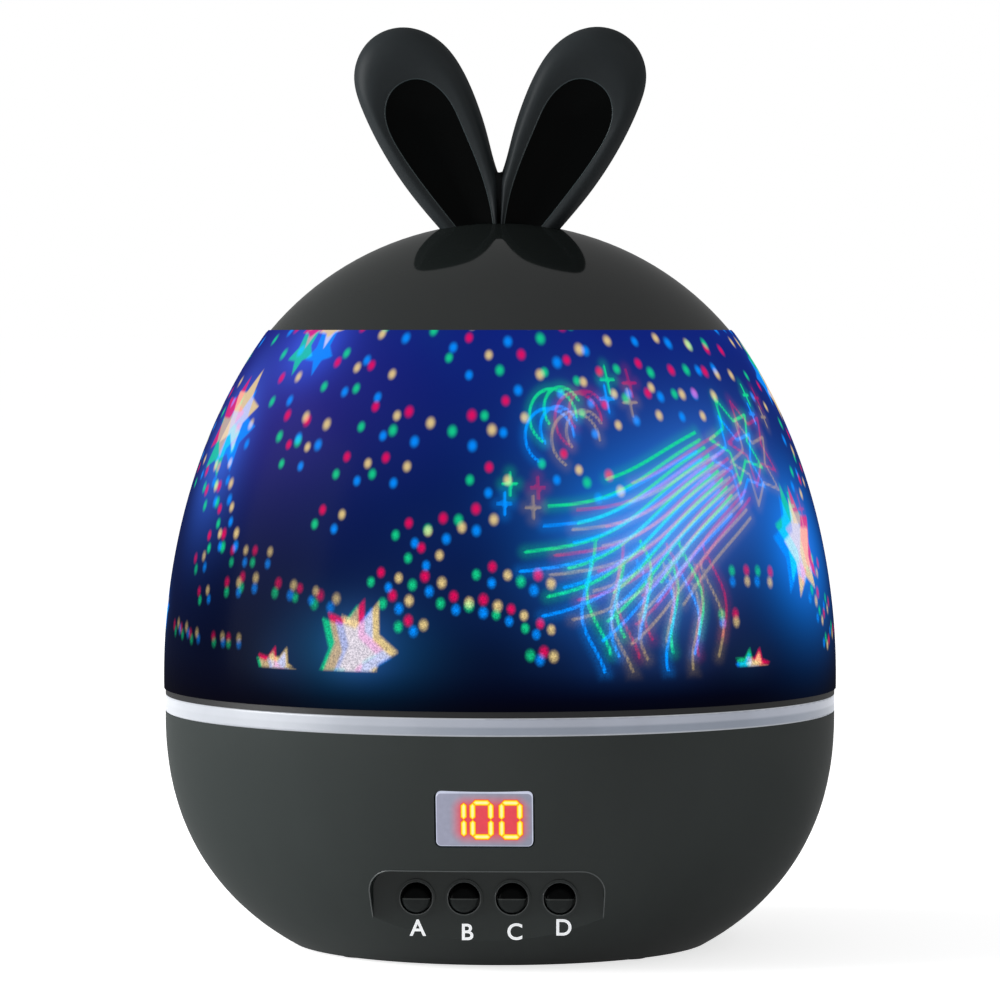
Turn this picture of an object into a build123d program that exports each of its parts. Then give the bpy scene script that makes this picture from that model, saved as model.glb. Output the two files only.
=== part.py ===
from build123d import *
import math
import os

# Star night light projector. Millimetres, +Z up, the front looks towards -Y.
# The origin is on the table, under the middle of the body.

# ------------------------------------------------------------------ driving dimensions
# clearances
slip_gap = 0.3          # between a moulded piece and the opening that it drops into
turn_gap = 0.05         # radial, between a shaft and its bush
mesh_play = 0.2         # taken off the thickness of each gear tooth

# base bowl
rim_r = 61.9            # outer radius of the bowl at its rim
rim_z = 43.0            # height of that rim above the table
base_depth = 51.0       # depth at which the bowl's curve would close
base_fullness = 2.3     # exponent of the bowl's curve
base_wall = 2.2
foot_stand = 0.3        # height of the bowl's underside above the table
floor_thick = 1.8       # plate across the inside of the bowl
edge_round = 0.5

# light ring
ring_height = 3.2
ring_width = 5.9
ring_spigot = 4.2       # width of the step that drops into the bowl
ring_round = 0.35

# shade and its collar
shade_proud = 0.3       # the shade's widest place outside the bowl's rim
shade_top_r = 42.9      # outer radius where the cap begins
shade_height = 65.9
shade_belly = 2.0       # height of the widest place above the shade's lower edge
shade_wall = 1.8
collar_flange = 1.1
collar_wall = 1.7
collar_rise = 5.7       # how far the collar stands up inside the shade
skirt_wall = 2.0
skirt_depth = 2.2       # how far the collar pushes into the light ring

# cap
cap_step = 0.5          # the shade's upper edge outside the cap
cap_rise = 19.8
cap_wall = 2.0
cap_skirt_depth = 4.2
cap_skirt_wall = 1.9

# ears
ear_thick = 11.0
ear_round = 3.0
ear_pocket = 2.0        # depth of the recess in an ear's front
inlay_thick = 1.0
ear_gap = 0.15          # from the middle plane to each ear
ear_screw_x = 5.6
ear_boss_r = 3.4
ear_boss_depth = 3.0    # length of the boss under the cap

# screws
screw_r = 1.1
screw_head_r = 2.1
screw_head = 1.1
screw_bite = 6.0        # how far a screw reaches into its boss
boss_wall = 1.5

# button panel
panel_inset = 15.6      # from the bowl's rim in to the panel's face
panel_half = 20.3
panel_top_z = 18.2
panel_corner = 3.5
panel_wall = 2.0
panel_draft = 5.0       # degrees
button_z = 13.2
button_pitch = 8.43
button_r = 2.5
button_proud = 1.6      # how far a button stands out of the panel
button_dome = 0.9
button_flange = 0.8
button_lip = 0.9        # how far the flange reaches past the cap
button_stem = 0.9
button_travel = 0.6
collar_lip = 0.6        # raised ring round each button hole
collar_proud = 0.35
switch_side = 6.0
switch_deep = 3.5
plunger_r = 0.9
plunger_proud = 1.4
plunger_sunk = 0.3

# display
window_drop = 14.7      # middle of the window under the bowl's rim
window_w = 16.8
window_h = 9.85
window_thick = 1.0
window_corner = 0.9
window_sink = 0.6       # window's face under the bowl's surface
display_margin = 0.2    # module inside the window's outline
display_deep = 6.4
display_board_w = 24.0

# boards
board_thick = 1.6
board_margin = 3.9      # main board to the bowl's wall
board_drop = 17.0       # underside of the main board under the deck
front_board_margin = 4.0  # lower corners of the button board to the bowl's wall
front_board_drop = 5.4  # its lower edge under the middle of the buttons

# power inlet
usb_w = 7.6
usb_h = 2.8
usb_deep = 10.4
usb_shell = 0.35
usb_cavity = 6.0
usb_tongue = 0.7

# deck and its bosses
deck_thick = 2.4
deck_drop = 1.6         # deck's top under the bowl's rim
deck_boss_r = 3.2
deck_post_r = 2.4
deck_boss_at = 26.0     # x and y of the four bosses

# spindle, turntable and drive
spindle_r = 8.0
spindle_flange_r = 14.0
spindle_flange = 2.0
spindle_height = 20.6
spindle_bore = 3.0
spindle_screw_at = 11.0
bush_wall = 1.5
hub_wall = 2.4
hub_height = 9.0
washer_thick = 0.6
washer_r = 11.5
gear_module = 1.0
gear_teeth = 60
pinion_teeth = 15
gear_width = 3.0
gear_rim = 3.0          # thickness of the ring gear under its teeth
gear_lift = 0.6         # ring gear above the hub's lower end
addendum = 0.9          # of the module
dedendum = 1.25
pressure_angle = 20.0   # degrees
table_thick = 1.8
shaft_r = 1.0
shaft_sunk = 3.8        # length of the shaft inside the gearbox
can_r = 10.0
can_height = 8.0
gearbox_r = 12.0
gearbox_height = 6.0
motor_ear_at = 15.5
motor_ear_r = 3.0
motor_ear = 2.0

# film drum
film_r = 36.0           # middle of the film's thickness
film_thick = 0.4
film_height = 40.5
holder_wall = 1.7
holder_height = 9.2
holder_foot = 5.8
holder_base = 1.6
groove_gap = 0.05
groove_lip = 0.55       # wall outside the film's groove
groove_deep = 2.6
dome_rise = 14.0
dome_wall = 1.2
dome_rim = 3.0

# lamps
led_board_r = 10.0
led_at = 5.0
led_side = 3.4
led_base = 1.2
led_lens_r = 1.5
lead_r = 1.2
wire_r = 0.6
ring_board_w = 4.4
ring_board_thick = 1.0
ring_led_side = 2.0
ring_led_thick = 0.7
ring_leds_n = 12

# battery bay
cell_r = 5.2
cell_length = 44.5
cell_nub = 1.0
cell_nub_r = 2.7
cell_pitch = 11.0
cells_n = 3
plate_side = 8.0
plate_thick = 0.4
spring_length = 4.7
spring_r = 2.5
spring_wire = 0.35
spring_turns = 3
tray_wall = 1.5
tray_margin = 1.1       # cell to tray wall
cell_lift = 1.9         # cell above the door
screw_bay = 4.0         # room behind the cells for the door's screw
cover_screw_margin = 3.2  # screw head to the cover's edge
cover_margin = 1.2      # cover's edge outside the corners of the battery tray
cover_thick = 2.2
door_thick = 1.6
door_ledge = 0.5
door_play = 0.1
door_hole_r = 1.5
tongue_w = 5.0
tongue_at = 10.0
tongue_reach = 2.1
tongue_thick = 0.8
tongue_neck = 1.4

# feet
foot_r = 3.5
foot_thick = 1.2
foot_margin = 0.87      # foot to the cover's edge

# ------------------------------------------------------------------ worked-out places
deck_z = rim_z - deck_drop - deck_thick
board_z = deck_z - board_drop
window_z = rim_z - window_drop
panel_y = rim_r - panel_inset
shade_r = rim_r + shade_proud
cap_r = shade_top_r - cap_step
cover_top = foot_stand + cover_thick
floor_top = cover_top + floor_thick
deck_top = deck_z + deck_thick
ring_top = rim_z + ring_height
shade_foot = ring_top + collar_flange
shade_mid = shade_foot + shade_belly
seam_z = shade_foot + shade_height
shade_semi = (seam_z - shade_mid) / math.sqrt(1 - (shade_top_r / shade_r) ** 2)
ring_bore = rim_r - ring_width
cap_sphere = (cap_r**2 + cap_rise**2) / (2 * cap_rise)
cap_top = seam_z + cap_rise
cap_centre = cap_top - cap_sphere
shade_in_r = shade_r - shade_wall
shade_in_top_r = shade_in_r * math.sqrt(1 - ((seam_z - shade_mid) / (shade_semi - shade_wall)) ** 2)
cap_skirt_r = shade_in_top_r - slip_gap

panel_back = -panel_y + panel_wall
button_xs = [(i - 1.5) * button_pitch for i in range(4)]
button_hole = button_r + slip_gap
flange_back = panel_back + button_flange
stem_end = flange_back + button_stem
switch_face = stem_end + plunger_proud
front_board_y = switch_face + switch_deep

spindle_base = deck_top + spindle_flange
spindle_top = deck_top + spindle_height
hub_low = spindle_base + washer_thick
hub_bore = spindle_r + turn_gap + bush_wall
hub_r = hub_bore + hub_wall
gear_low = hub_low + gear_lift
table_low = gear_low + gear_width
table_top = table_low + table_thick
gear_r = gear_module * gear_teeth / 2
pinion_r = gear_module * pinion_teeth / 2
motor_x = gear_r + pinion_r
pinion_low = gear_low - slip_gap
pinion_high = table_low - slip_gap
gearbox_top = deck_z
gearbox_low = gearbox_top - gearbox_height

holder_r = film_r + film_thick / 2 + groove_gap + groove_lip
holder_in = holder_r - holder_wall
holder_foot_in = holder_r - holder_foot
holder_top = table_top + holder_height
film_low = holder_top - groove_deep
film_high = film_low + film_height
dome_low = film_high - groove_deep
dome_seat = dome_low + dome_rim
dome_sphere = (holder_r**2 + dome_rise**2) / (2 * dome_rise)
dome_centre = dome_seat + dome_rise - dome_sphere

tray_half = (cells_n - 1) / 2 * cell_pitch + cell_r + tray_margin
bay_half = (cell_length + spring_length) / 2 + plate_thick
door_half = tray_half + door_ledge - slip_gap
door_front = -bay_half + slip_gap
screw_wall_y = bay_half + tray_wall
screw_y = screw_wall_y + screw_bay / 2
door_back = screw_wall_y + screw_bay + door_ledge - slip_gap
door_top = foot_stand + door_thick
hinge_y = door_front + door_thick / 2
hinge_z = foot_stand + door_thick / 2
ledge_z = door_top + door_play
cell_z = door_top + cell_lift + cell_r
tray_top = cell_z + cell_r + tray_margin
tray_back = screw_wall_y + screw_bay + tray_wall
door_mid = (door_front + door_back) / 2
door_length = door_back - door_front
cover_r = math.hypot(tray_half + tray_wall, tray_back) + cover_margin
cover_screw_at = cover_r - screw_head_r - cover_screw_margin
foot_at = (cover_r - foot_r - foot_margin) / math.sqrt(2)
usb_z = board_z + board_thick + usb_h / 2


def bowl_radius(z, wall=0.0):
    """Radius of the bowl's outside, or of its inside for a wall, at a height."""
    drop = (rim_z - z) / (base_depth - wall)
    return (rim_r - wall) * (1 - drop**base_fullness) ** (1 / base_fullness)


def bowl_points(wall, low):
    """Points of the bowl's section from the rim down to a height."""
    steps = 8
    heights = [rim_z - (rim_z - low) * math.sin(math.pi / 2 * i / steps) for i in range(steps + 1)]
    return [(bowl_radius(z, wall), z) for z in heights]


def gear_points(teeth, turn):
    """Outline of an involute spur gear, with its first tooth turned by an angle in degrees."""
    pitch_r = gear_module * teeth / 2
    base_r = pitch_r * math.cos(math.radians(pressure_angle))
    tip_r = pitch_r + addendum * gear_module
    root_r = pitch_r - dedendum * gear_module

    def roll(r):
        a = math.acos(base_r / r)
        return math.tan(a) - a

    half = math.pi / (2 * teeth) - mesh_play / 2 / pitch_r + roll(pitch_r)
    start = max(base_r, root_r)
    flank = [(start + (tip_r - start) * i / 3) for i in range(4)]
    side = [(r, half - roll(r)) for r in flank]
    if root_r < base_r:
        side.insert(0, (root_r, half))
    points = []
    for tooth in range(teeth):
        middle = math.radians(turn) + 2 * math.pi * tooth / teeth
        for r, a in side:
            points.append((r * math.cos(middle - a), r * math.sin(middle - a)))
        for r, a in reversed(side):
            points.append((r * math.cos(middle + a), r * math.sin(middle + a)))
    return points


def save(piece, name):
    """Label a finished piece and write it as its own file."""
    piece.part.label = name
    export_step(piece.part, f"parts/{name}.step")


os.makedirs("parts", exist_ok=True)

board_r = bowl_radius(board_z, base_wall) - board_margin
front_board_low = button_z - front_board_drop
bowl_at_board = bowl_radius(front_board_low, base_wall)
front_board_half = math.sqrt(bowl_at_board**2 - front_board_y**2) - front_board_margin
window_lean = bowl_radius(window_z + window_h / 2) - bowl_radius(window_z - window_h / 2)
window_tilt = math.atan(window_lean / window_h)
surface_plane = Plane(
    origin=(0, -bowl_radius(window_z), window_z),
    x_dir=(1, 0, 0),
    z_dir=(0, -math.cos(window_tilt), -math.sin(window_tilt)),
)
display_plane = surface_plane.offset(-window_sink)
panel_plane = Plane.XZ.offset(panel_y)
corners = [(x, y) for x in (-1, 1) for y in (-1, 1)]
deck_boss_places = [(x * deck_boss_at, y * deck_boss_at) for x, y in corners]
foot_places = [(x * foot_at, y * foot_at) for x, y in corners]
button_places = [(x, button_z) for x in button_xs]

# ------------------------------------------------------------------ base housing
with BuildPart() as bowl_form:
    with BuildSketch(Plane.XZ):
        with BuildLine():
            bowl_curve = Spline(*bowl_points(0, foot_stand))
            Polyline(bowl_curve @ 1, (0, foot_stand), (0, rim_z), bowl_curve @ 0)
        make_face()
    revolve(axis=Axis.Z)
    fillet(bowl_form.edges().group_by(Axis.Z)[0], edge_round)

with BuildPart() as panel_backing:
    add(bowl_form.part)
    with BuildSketch(Plane.XZ.offset(-panel_back)):
        with Locations((0, (panel_top_z + panel_wall + floor_top) / 2)):
            Rectangle(2 * (panel_half + panel_wall), panel_top_z + panel_wall - floor_top)
    extrude(amount=rim_r, taper=-panel_draft, mode=Mode.INTERSECT)

with BuildPart() as base_housing:
    add(bowl_form.part)
    with BuildSketch(Plane.XZ):
        with BuildLine():
            hollow_curve = Spline(*bowl_points(base_wall, floor_top))
            Polyline(hollow_curve @ 1, (0, floor_top), (0, rim_z), hollow_curve @ 0)
        make_face()
    revolve(axis=Axis.Z, mode=Mode.SUBTRACT)
    add(panel_backing.part)
    # pocket for the buttons, with a raised lip round each hole
    with BuildSketch(panel_plane) as pocket:
        with BuildLine():
            Polyline(
                (-panel_half, -foot_stand),
                (-panel_half, panel_top_z),
                (panel_half, panel_top_z),
                (panel_half, -foot_stand),
                close=True,
            )
        make_face()
        fillet(pocket.vertices().group_by(Axis.Z)[-1], panel_corner)
    extrude(amount=rim_r, taper=-panel_draft, mode=Mode.SUBTRACT)
    with BuildSketch(panel_plane):
        with Locations(*button_places):
            Circle(button_hole + collar_lip)
    extrude(amount=collar_proud)
    with BuildSketch(panel_plane.offset(-2 * panel_wall)):
        with Locations(*button_places):
            Circle(button_hole)
    extrude(amount=4 * panel_wall, mode=Mode.SUBTRACT)
    # display opening
    with BuildSketch(display_plane):
        RectangleRounded(window_w + 2 * slip_gap, window_h + 2 * slip_gap, window_corner + slip_gap)
    extrude(amount=2 * base_wall, both=True, mode=Mode.SUBTRACT)
    # power inlet
    with BuildSketch(Plane.XZ.offset(-bowl_radius(usb_z, 2 * base_wall))):
        with Locations((0, usb_z)):
            RectangleRounded(usb_w + 2 * slip_gap, usb_h + 2 * slip_gap, usb_h / 3)
    extrude(amount=-4 * base_wall, mode=Mode.SUBTRACT)
    # seat of the bottom cover, and room for the battery tray
    with BuildSketch(Plane.XY):
        Circle(cover_r + slip_gap / 2)
    extrude(amount=cover_top, mode=Mode.SUBTRACT)
    with BuildSketch(Plane.XY.offset(cover_top)):
        tray_mid = (tray_back - bay_half - tray_wall) / 2
        with Locations((0, tray_mid)):
            Rectangle(
                2 * (tray_half + tray_wall + slip_gap),
                tray_back + bay_half + tray_wall + 4 * slip_gap,
            )
    extrude(amount=floor_thick, mode=Mode.SUBTRACT)
    # posts for the deck, with a shoulder that carries the main board
    with BuildSketch(Plane.XY.offset(floor_top)):
        with Locations(*deck_boss_places):
            Circle(deck_boss_r)
    extrude(amount=board_z - floor_top)
    with BuildSketch(Plane.XY.offset(board_z)):
        with Locations(*deck_boss_places):
            Circle(deck_post_r)
    extrude(amount=deck_z - board_z)
    with BuildSketch(Plane.XY.offset(deck_z - screw_bite)):
        with Locations(*deck_boss_places):
            Circle(screw_r)
    extrude(amount=screw_bite, mode=Mode.SUBTRACT)
    # bosses for the bottom cover's screws
    with BuildSketch(Plane.XY.offset(floor_top)):
        with PolarLocations(cover_screw_at, 3, start_angle=-90):
            Circle(screw_r + boss_wall)
    extrude(amount=screw_bite - floor_thick)
    with BuildSketch(Plane.XY.offset(cover_top)):
        with PolarLocations(cover_screw_at, 3, start_angle=-90):
            Circle(screw_r)
    extrude(amount=screw_bite - boss_wall, mode=Mode.SUBTRACT)
save(base_housing, "base_housing")

# ------------------------------------------------------------------ light ring
with BuildPart() as light_ring:
    with BuildSketch(Plane.XY.offset(rim_z)):
        Circle(rim_r)
        Circle(ring_bore, mode=Mode.SUBTRACT)
    extrude(amount=ring_height)
    outer_edges = light_ring.edges().filter_by(GeomType.CIRCLE).group_by(SortBy.RADIUS)[-1]
    fillet(outer_edges, ring_round)
    with BuildSketch(Plane.XY.offset(deck_top)):
        Circle(rim_r - base_wall - slip_gap)
        Circle(rim_r - base_wall - slip_gap - ring_spigot, mode=Mode.SUBTRACT)
    extrude(amount=rim_z - deck_top)
save(light_ring, "light_ring")

ring_board_r = rim_r - base_wall - 2 * slip_gap - ring_spigot
with BuildPart() as ring_board:
    with BuildSketch(Plane.XY.offset(deck_top)):
        Circle(ring_board_r)
        Circle(ring_board_r - ring_board_w, mode=Mode.SUBTRACT)
    extrude(amount=ring_board_thick)
save(ring_board, "ring_board")

with BuildPart() as ring_leds:
    with BuildSketch(Plane.XY.offset(deck_top + ring_board_thick)):
        with PolarLocations(ring_board_r - ring_led_side / 2, ring_leds_n):
            Rectangle(ring_led_side, ring_led_side)
    extrude(amount=ring_led_thick)
save(ring_leds, "ring_leds")

# ------------------------------------------------------------------ shade, collar and cap
with BuildPart() as projection_shade:
    with BuildSketch(Plane.XZ) as shade_section:
        with Locations((0, shade_mid)):
            Ellipse(shade_r, shade_semi)
            Ellipse(shade_in_r, shade_semi - shade_wall, mode=Mode.SUBTRACT)
        with Locations((shade_r / 2 + slip_gap, shade_foot + shade_height / 2)):
            Rectangle(shade_r, shade_height, mode=Mode.INTERSECT)
    revolve(axis=Axis.Z)
save(projection_shade, "projection_shade")

collar_r = shade_in_r - slip_gap
with BuildPart() as shade_collar:
    with BuildSketch(Plane.XY.offset(ring_top)):
        Circle(rim_r)
        Circle(ring_bore - slip_gap - skirt_wall, mode=Mode.SUBTRACT)
    extrude(amount=collar_flange)
    with BuildSketch(Plane.XY.offset(shade_foot)):
        Circle(collar_r)
        Circle(collar_r - collar_wall, mode=Mode.SUBTRACT)
    extrude(amount=collar_rise)
    with BuildSketch(Plane.XY.offset(ring_top - skirt_depth)):
        Circle(ring_bore - slip_gap)
        Circle(ring_bore - slip_gap - skirt_wall, mode=Mode.SUBTRACT)
    extrude(amount=skirt_depth)
save(shade_collar, "shade_collar")

with BuildPart() as cap_form:
    with BuildSketch(Plane.XZ):
        with Locations((0, cap_centre)):
            Circle(cap_sphere)
        with Locations((cap_r, seam_z + cap_rise)):
            Rectangle(2 * cap_r, 2 * cap_rise, mode=Mode.INTERSECT)
    revolve(axis=Axis.Z)

with BuildPart() as top_cap:
    add(cap_form.part)
    with BuildSketch(Plane.XZ):
        with Locations((0, cap_centre)):
            Circle(cap_sphere - cap_wall)
        with Locations((cap_r, seam_z + cap_rise)):
            Rectangle(2 * cap_r, 2 * cap_rise, mode=Mode.INTERSECT)
    revolve(axis=Axis.Z, mode=Mode.SUBTRACT)
    with BuildSketch(Plane.XY.offset(seam_z - cap_skirt_depth)):
        Circle(cap_skirt_r)
        Circle(cap_skirt_r - cap_skirt_wall, mode=Mode.SUBTRACT)
    extrude(amount=cap_skirt_depth + cap_wall / 2)
    with BuildSketch(Plane.XY.offset(cap_top - cap_wall - ear_boss_depth)):
        with Locations((-ear_screw_x, 0), (ear_screw_x, 0)):
            Circle(ear_boss_r)
    extrude(amount=ear_boss_depth + cap_wall / 2)
    with BuildSketch(Plane.XY.offset(seam_z)):
        with Locations((-ear_screw_x, 0), (ear_screw_x, 0)):
            Circle(screw_r + turn_gap)
    extrude(amount=2 * cap_rise, mode=Mode.SUBTRACT)
save(top_cap, "top_cap")

# ------------------------------------------------------------------ ears
# points of the right ear, from the cap's top: across and up
ear_inner_side = [(0.15, 8.6), (0.9, 10.8), (2.4, 16.5), (4.3, 22.4), (6.9, 28.2), (10.7, 33.2)]
ear_outer_side = [
    (18.0, 36.1), (23.9, 33.9), (27.0, 27.5), (25.5, 20.9), (21.9, 13.5), (17.1, 6.1), (10.2, -2.2)
]
inlay_inner_side = [(0.9, -2.0), (1.7, 3.2), (4.2, 11.3), (7.0, 18.0), (9.5, 22.8)]
inlay_outer_side = [
    (14.8, 26.2), (19.6, 24.0), (20.8, 19.8), (18.6, 13.8), (15.4, 9.0), (11.7, 4.1), (7.2, -1.6)
]
ear_root = -6.0         # the ears' solids start this far under the cap's top, before the cap trims them
ear_root_x = 6.0        # outer end of the ear's lower edge
inlay_root_x = 4.0


def ear_outline():
    """Closed front outline of the right ear, on the XZ plane."""
    root = (ear_gap, cap_top + ear_root)
    side = Spline(*[(x, cap_top + z) for x, z in ear_inner_side + ear_outer_side])
    Polyline(side @ 1, (ear_root_x, cap_top + ear_root), root, side @ 0)


def inlay_outline():
    """Closed outline of the recess in the right ear's front, on the XZ plane."""
    root = (inlay_inner_side[0][0], cap_top + ear_root)
    side = Spline(*[(x, cap_top + z) for x, z in inlay_inner_side + inlay_outer_side])
    Polyline(side @ 1, (inlay_root_x, cap_top + ear_root), root, side @ 0)


with BuildPart() as ear_right:
    with BuildSketch(Plane.XZ):
        with BuildLine():
            ear_outline()
        make_face()
    extrude(amount=ear_thick / 2, both=True)
    front_and_back = ear_right.faces().filter_by(Axis.Y).edges().filter_by(GeomType.BSPLINE)
    fillet(front_and_back, ear_round)
    with BuildSketch(Plane.XZ.offset(ear_thick / 2 - ear_pocket)):
        with BuildLine():
            inlay_outline()
        make_face()
    extrude(amount=2 * ear_pocket, mode=Mode.SUBTRACT)
    add(cap_form.part, mode=Mode.SUBTRACT)
    with BuildSketch(Plane.XY.offset(cap_top - cap_wall)):
        with Locations((ear_screw_x, 0)):
            Circle(screw_r)
    extrude(amount=screw_bite + cap_wall, mode=Mode.SUBTRACT)
save(ear_right, "ear_right")

with BuildPart() as ear_left:
    mirror(ear_right.part, about=Plane.YZ)
save(ear_left, "ear_left")

with BuildPart() as ear_inlay_right:
    with BuildSketch(Plane.XZ.offset(ear_thick / 2 - ear_pocket)):
        with BuildLine():
            inlay_outline()
        make_face()
    extrude(amount=inlay_thick)
    add(cap_form.part, mode=Mode.SUBTRACT)
save(ear_inlay_right, "ear_inlay_right")

with BuildPart() as ear_inlay_left:
    mirror(ear_inlay_right.part, about=Plane.YZ)
save(ear_inlay_left, "ear_inlay_left")

with BuildPart() as ear_screws:
    ear_boss_low = cap_top - cap_wall - ear_boss_depth
    with BuildSketch(Plane.XY.offset(ear_boss_low - screw_head)):
        with Locations((-ear_screw_x, 0), (ear_screw_x, 0)):
            Circle(screw_head_r)
    extrude(amount=screw_head)
    with BuildSketch(Plane.XY.offset(ear_boss_low)):
        with Locations((-ear_screw_x, 0), (ear_screw_x, 0)):
            Circle(screw_r)
    extrude(amount=ear_boss_depth + screw_bite)
save(ear_screws, "ear_screws")

# ------------------------------------------------------------------ bottom cover and battery bay
with BuildPart() as bottom_cover:
    with BuildSketch(Plane.XY.offset(foot_stand)):
        Circle(cover_r)
    extrude(amount=cover_thick)
    with BuildSketch(Plane.XY.offset(cover_top)):
        with Locations((0, tray_mid)):
            Rectangle(2 * (tray_half + tray_wall), tray_back + bay_half + tray_wall)
    extrude(amount=tray_top - cover_top + tray_wall)
    # room for the cells and, behind a wall, for the door's screw
    with BuildSketch(Plane.XY.offset(foot_stand)):
        Rectangle(2 * tray_half, 2 * bay_half)
        with Locations((0, screw_y)):
            Rectangle(2 * tray_half, screw_bay)
    extrude(amount=tray_top - foot_stand, mode=Mode.SUBTRACT)
    with BuildSketch(Plane.XY.offset(ledge_z)):
        with Locations((0, screw_y)):
            Circle(door_hole_r + boss_wall)
            Rectangle(tray_wall, screw_bay)
    extrude(amount=tray_top - ledge_z)
    with BuildSketch(Plane.XY.offset(foot_stand)):
        with Locations((0, screw_y)):
            Circle(door_hole_r)
    extrude(amount=ledge_z + screw_bite, mode=Mode.SUBTRACT)
    # seat of the door, and slots for its tongues
    with BuildSketch(Plane.XY.offset(foot_stand)):
        with Locations((0, door_mid)):
            Rectangle(2 * (door_half + slip_gap), door_length + 2 * slip_gap)
    extrude(amount=door_thick + door_play, mode=Mode.SUBTRACT)
    with BuildSketch(Plane.XY.offset(cover_top)):
        with Locations((-tongue_at, -bay_half - tray_wall / 2), (tongue_at, -bay_half - tray_wall / 2)):
            Rectangle(tongue_w + 4 * slip_gap, tray_wall * 2)
    extrude(amount=2 * tongue_thick + 4 * slip_gap, mode=Mode.SUBTRACT)
    # feet and screws
    with BuildSketch(Plane.XY.offset(foot_stand)):
        with Locations(*foot_places):
            Circle(foot_r + slip_gap / 2)
    extrude(amount=foot_thick - foot_stand, mode=Mode.SUBTRACT)
    with BuildSketch(Plane.XY.offset(foot_stand)):
        with PolarLocations(cover_screw_at, 3, start_angle=-90):
            Circle(screw_head_r + slip_gap)
    extrude(amount=screw_head, mode=Mode.SUBTRACT)
    with BuildSketch(Plane.XY.offset(foot_stand)):
        with PolarLocations(cover_screw_at, 3, start_angle=-90):
            Circle(screw_r + turn_gap)
    extrude(amount=cover_thick, mode=Mode.SUBTRACT)
save(bottom_cover, "bottom_cover")

with BuildPart() as cover_screws:
    with BuildSketch(Plane.XY.offset(foot_stand + turn_gap)):
        with PolarLocations(cover_screw_at, 3, start_angle=-90):
            Circle(screw_head_r)
    extrude(amount=screw_head - turn_gap)
    with BuildSketch(Plane.XY.offset(foot_stand + screw_head)):
        with PolarLocations(cover_screw_at, 3, start_angle=-90):
            Circle(screw_r)
    extrude(amount=screw_bite - boss_wall)
save(cover_screws, "cover_screws")

with BuildPart() as rubber_feet:
    with BuildSketch():
        with Locations(*foot_places):
            Circle(foot_r)
    extrude(amount=foot_thick)
    chamfer(rubber_feet.edges().group_by(Axis.Z)[0], foot_stand / 3)
save(rubber_feet, "rubber_feet")

tongue_low = cover_top + slip_gap
with BuildPart() as battery_door:
    with BuildSketch(Plane.XY.offset(foot_stand)):
        with Locations((0, (hinge_y + door_back) / 2)):
            Rectangle(2 * door_half, door_back - hinge_y)
    extrude(amount=door_thick)
    # rounded front edge, about the line that the door turns on
    with BuildSketch(Plane.YZ.offset(-door_half)):
        with Locations((hinge_y, hinge_z)):
            Circle(door_thick / 2)
    extrude(amount=2 * door_half)
    with BuildSketch(Plane.XY.offset(foot_stand)):
        with Locations((0, screw_y)):
            Circle(screw_head_r + slip_gap / 2)
    extrude(amount=door_thick - plate_thick, mode=Mode.SUBTRACT)
    with BuildSketch(Plane.XY.offset(foot_stand)):
        with Locations((0, screw_y)):
            Circle(screw_r)
    extrude(amount=door_thick, mode=Mode.SUBTRACT)
    # finger grooves across the outside
    with BuildSketch(Plane.XY.offset(foot_stand)):
        with Locations(*[(0, door_mid + i * 3 * tongue_thick) for i in range(4)]):
            Rectangle(door_half, tongue_thick)
    extrude(amount=door_play * 4, mode=Mode.SUBTRACT)
    # tongues that hook over the cover's edge
    neck_y = door_front + tongue_thick
    with BuildSketch(Plane.XY.offset(door_top)):
        with Locations((-tongue_at, neck_y + tongue_neck / 2), (tongue_at, neck_y + tongue_neck / 2)):
            Rectangle(tongue_w, tongue_neck)
    extrude(amount=tongue_low + tongue_thick - door_top)
    tongue_tip = door_front - tongue_reach
    tongue_mid = (tongue_tip + neck_y + tongue_neck) / 2
    with BuildSketch(Plane.XY.offset(tongue_low)):
        with Locations((-tongue_at, tongue_mid), (tongue_at, tongue_mid)):
            Rectangle(tongue_w, neck_y + tongue_neck - tongue_tip)
    extrude(amount=tongue_thick)
save(battery_door, "battery_door")

with BuildPart() as door_screw:
    head_top = door_top - plate_thick
    with BuildSketch(Plane.XY.offset(head_top - screw_head + turn_gap)):
        with Locations((0, screw_y)):
            Circle(screw_head_r)
    extrude(amount=screw_head - turn_gap)
    with BuildSketch(Plane.XY.offset(head_top)):
        with Locations((0, screw_y)):
            Circle(screw_r - 4 * turn_gap)
    extrude(amount=screw_bite - boss_wall)
save(door_screw, "door_screw")

cell_places = [((i - (cells_n - 1) / 2) * cell_pitch, (-1) ** i) for i in range(cells_n)]
with BuildPart() as battery_cells:
    for x, way in cell_places:
        flat_end = -way * (bay_half - plate_thick - spring_length)
        with Locations(Plane(origin=(x, flat_end, cell_z), z_dir=(0, way, 0))):
            Cylinder(cell_r, cell_length - cell_nub, align=(Align.CENTER, Align.CENTER, Align.MIN))
            with Locations((0, 0, cell_length - cell_nub)):
                Cylinder(cell_nub_r, cell_nub, align=(Align.CENTER, Align.CENTER, Align.MIN))
save(battery_cells, "battery_cells")

with BuildPart() as battery_plates:
    for x, way in cell_places:
        for side in (-1, 1):
            with Locations((x, side * (bay_half - plate_thick / 2), cell_z)):
                Box(plate_side, plate_thick, plate_side)
save(battery_plates, "battery_plates")

with BuildPart() as battery_springs:
    for x, way in cell_places:
        coil_length = spring_length - 2 * spring_wire
        coil_start = (x, -way * (bay_half - plate_thick - spring_wire), cell_z)
        with BuildLine():
            coil = Helix(coil_length / spring_turns, coil_length, spring_r, coil_start, (0, way, 0))
        with BuildSketch(Plane(origin=coil @ 0, z_dir=coil % 0)):
            Circle(spring_wire)
        sweep(path=coil, is_frenet=True)
save(battery_springs, "battery_springs")

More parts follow.
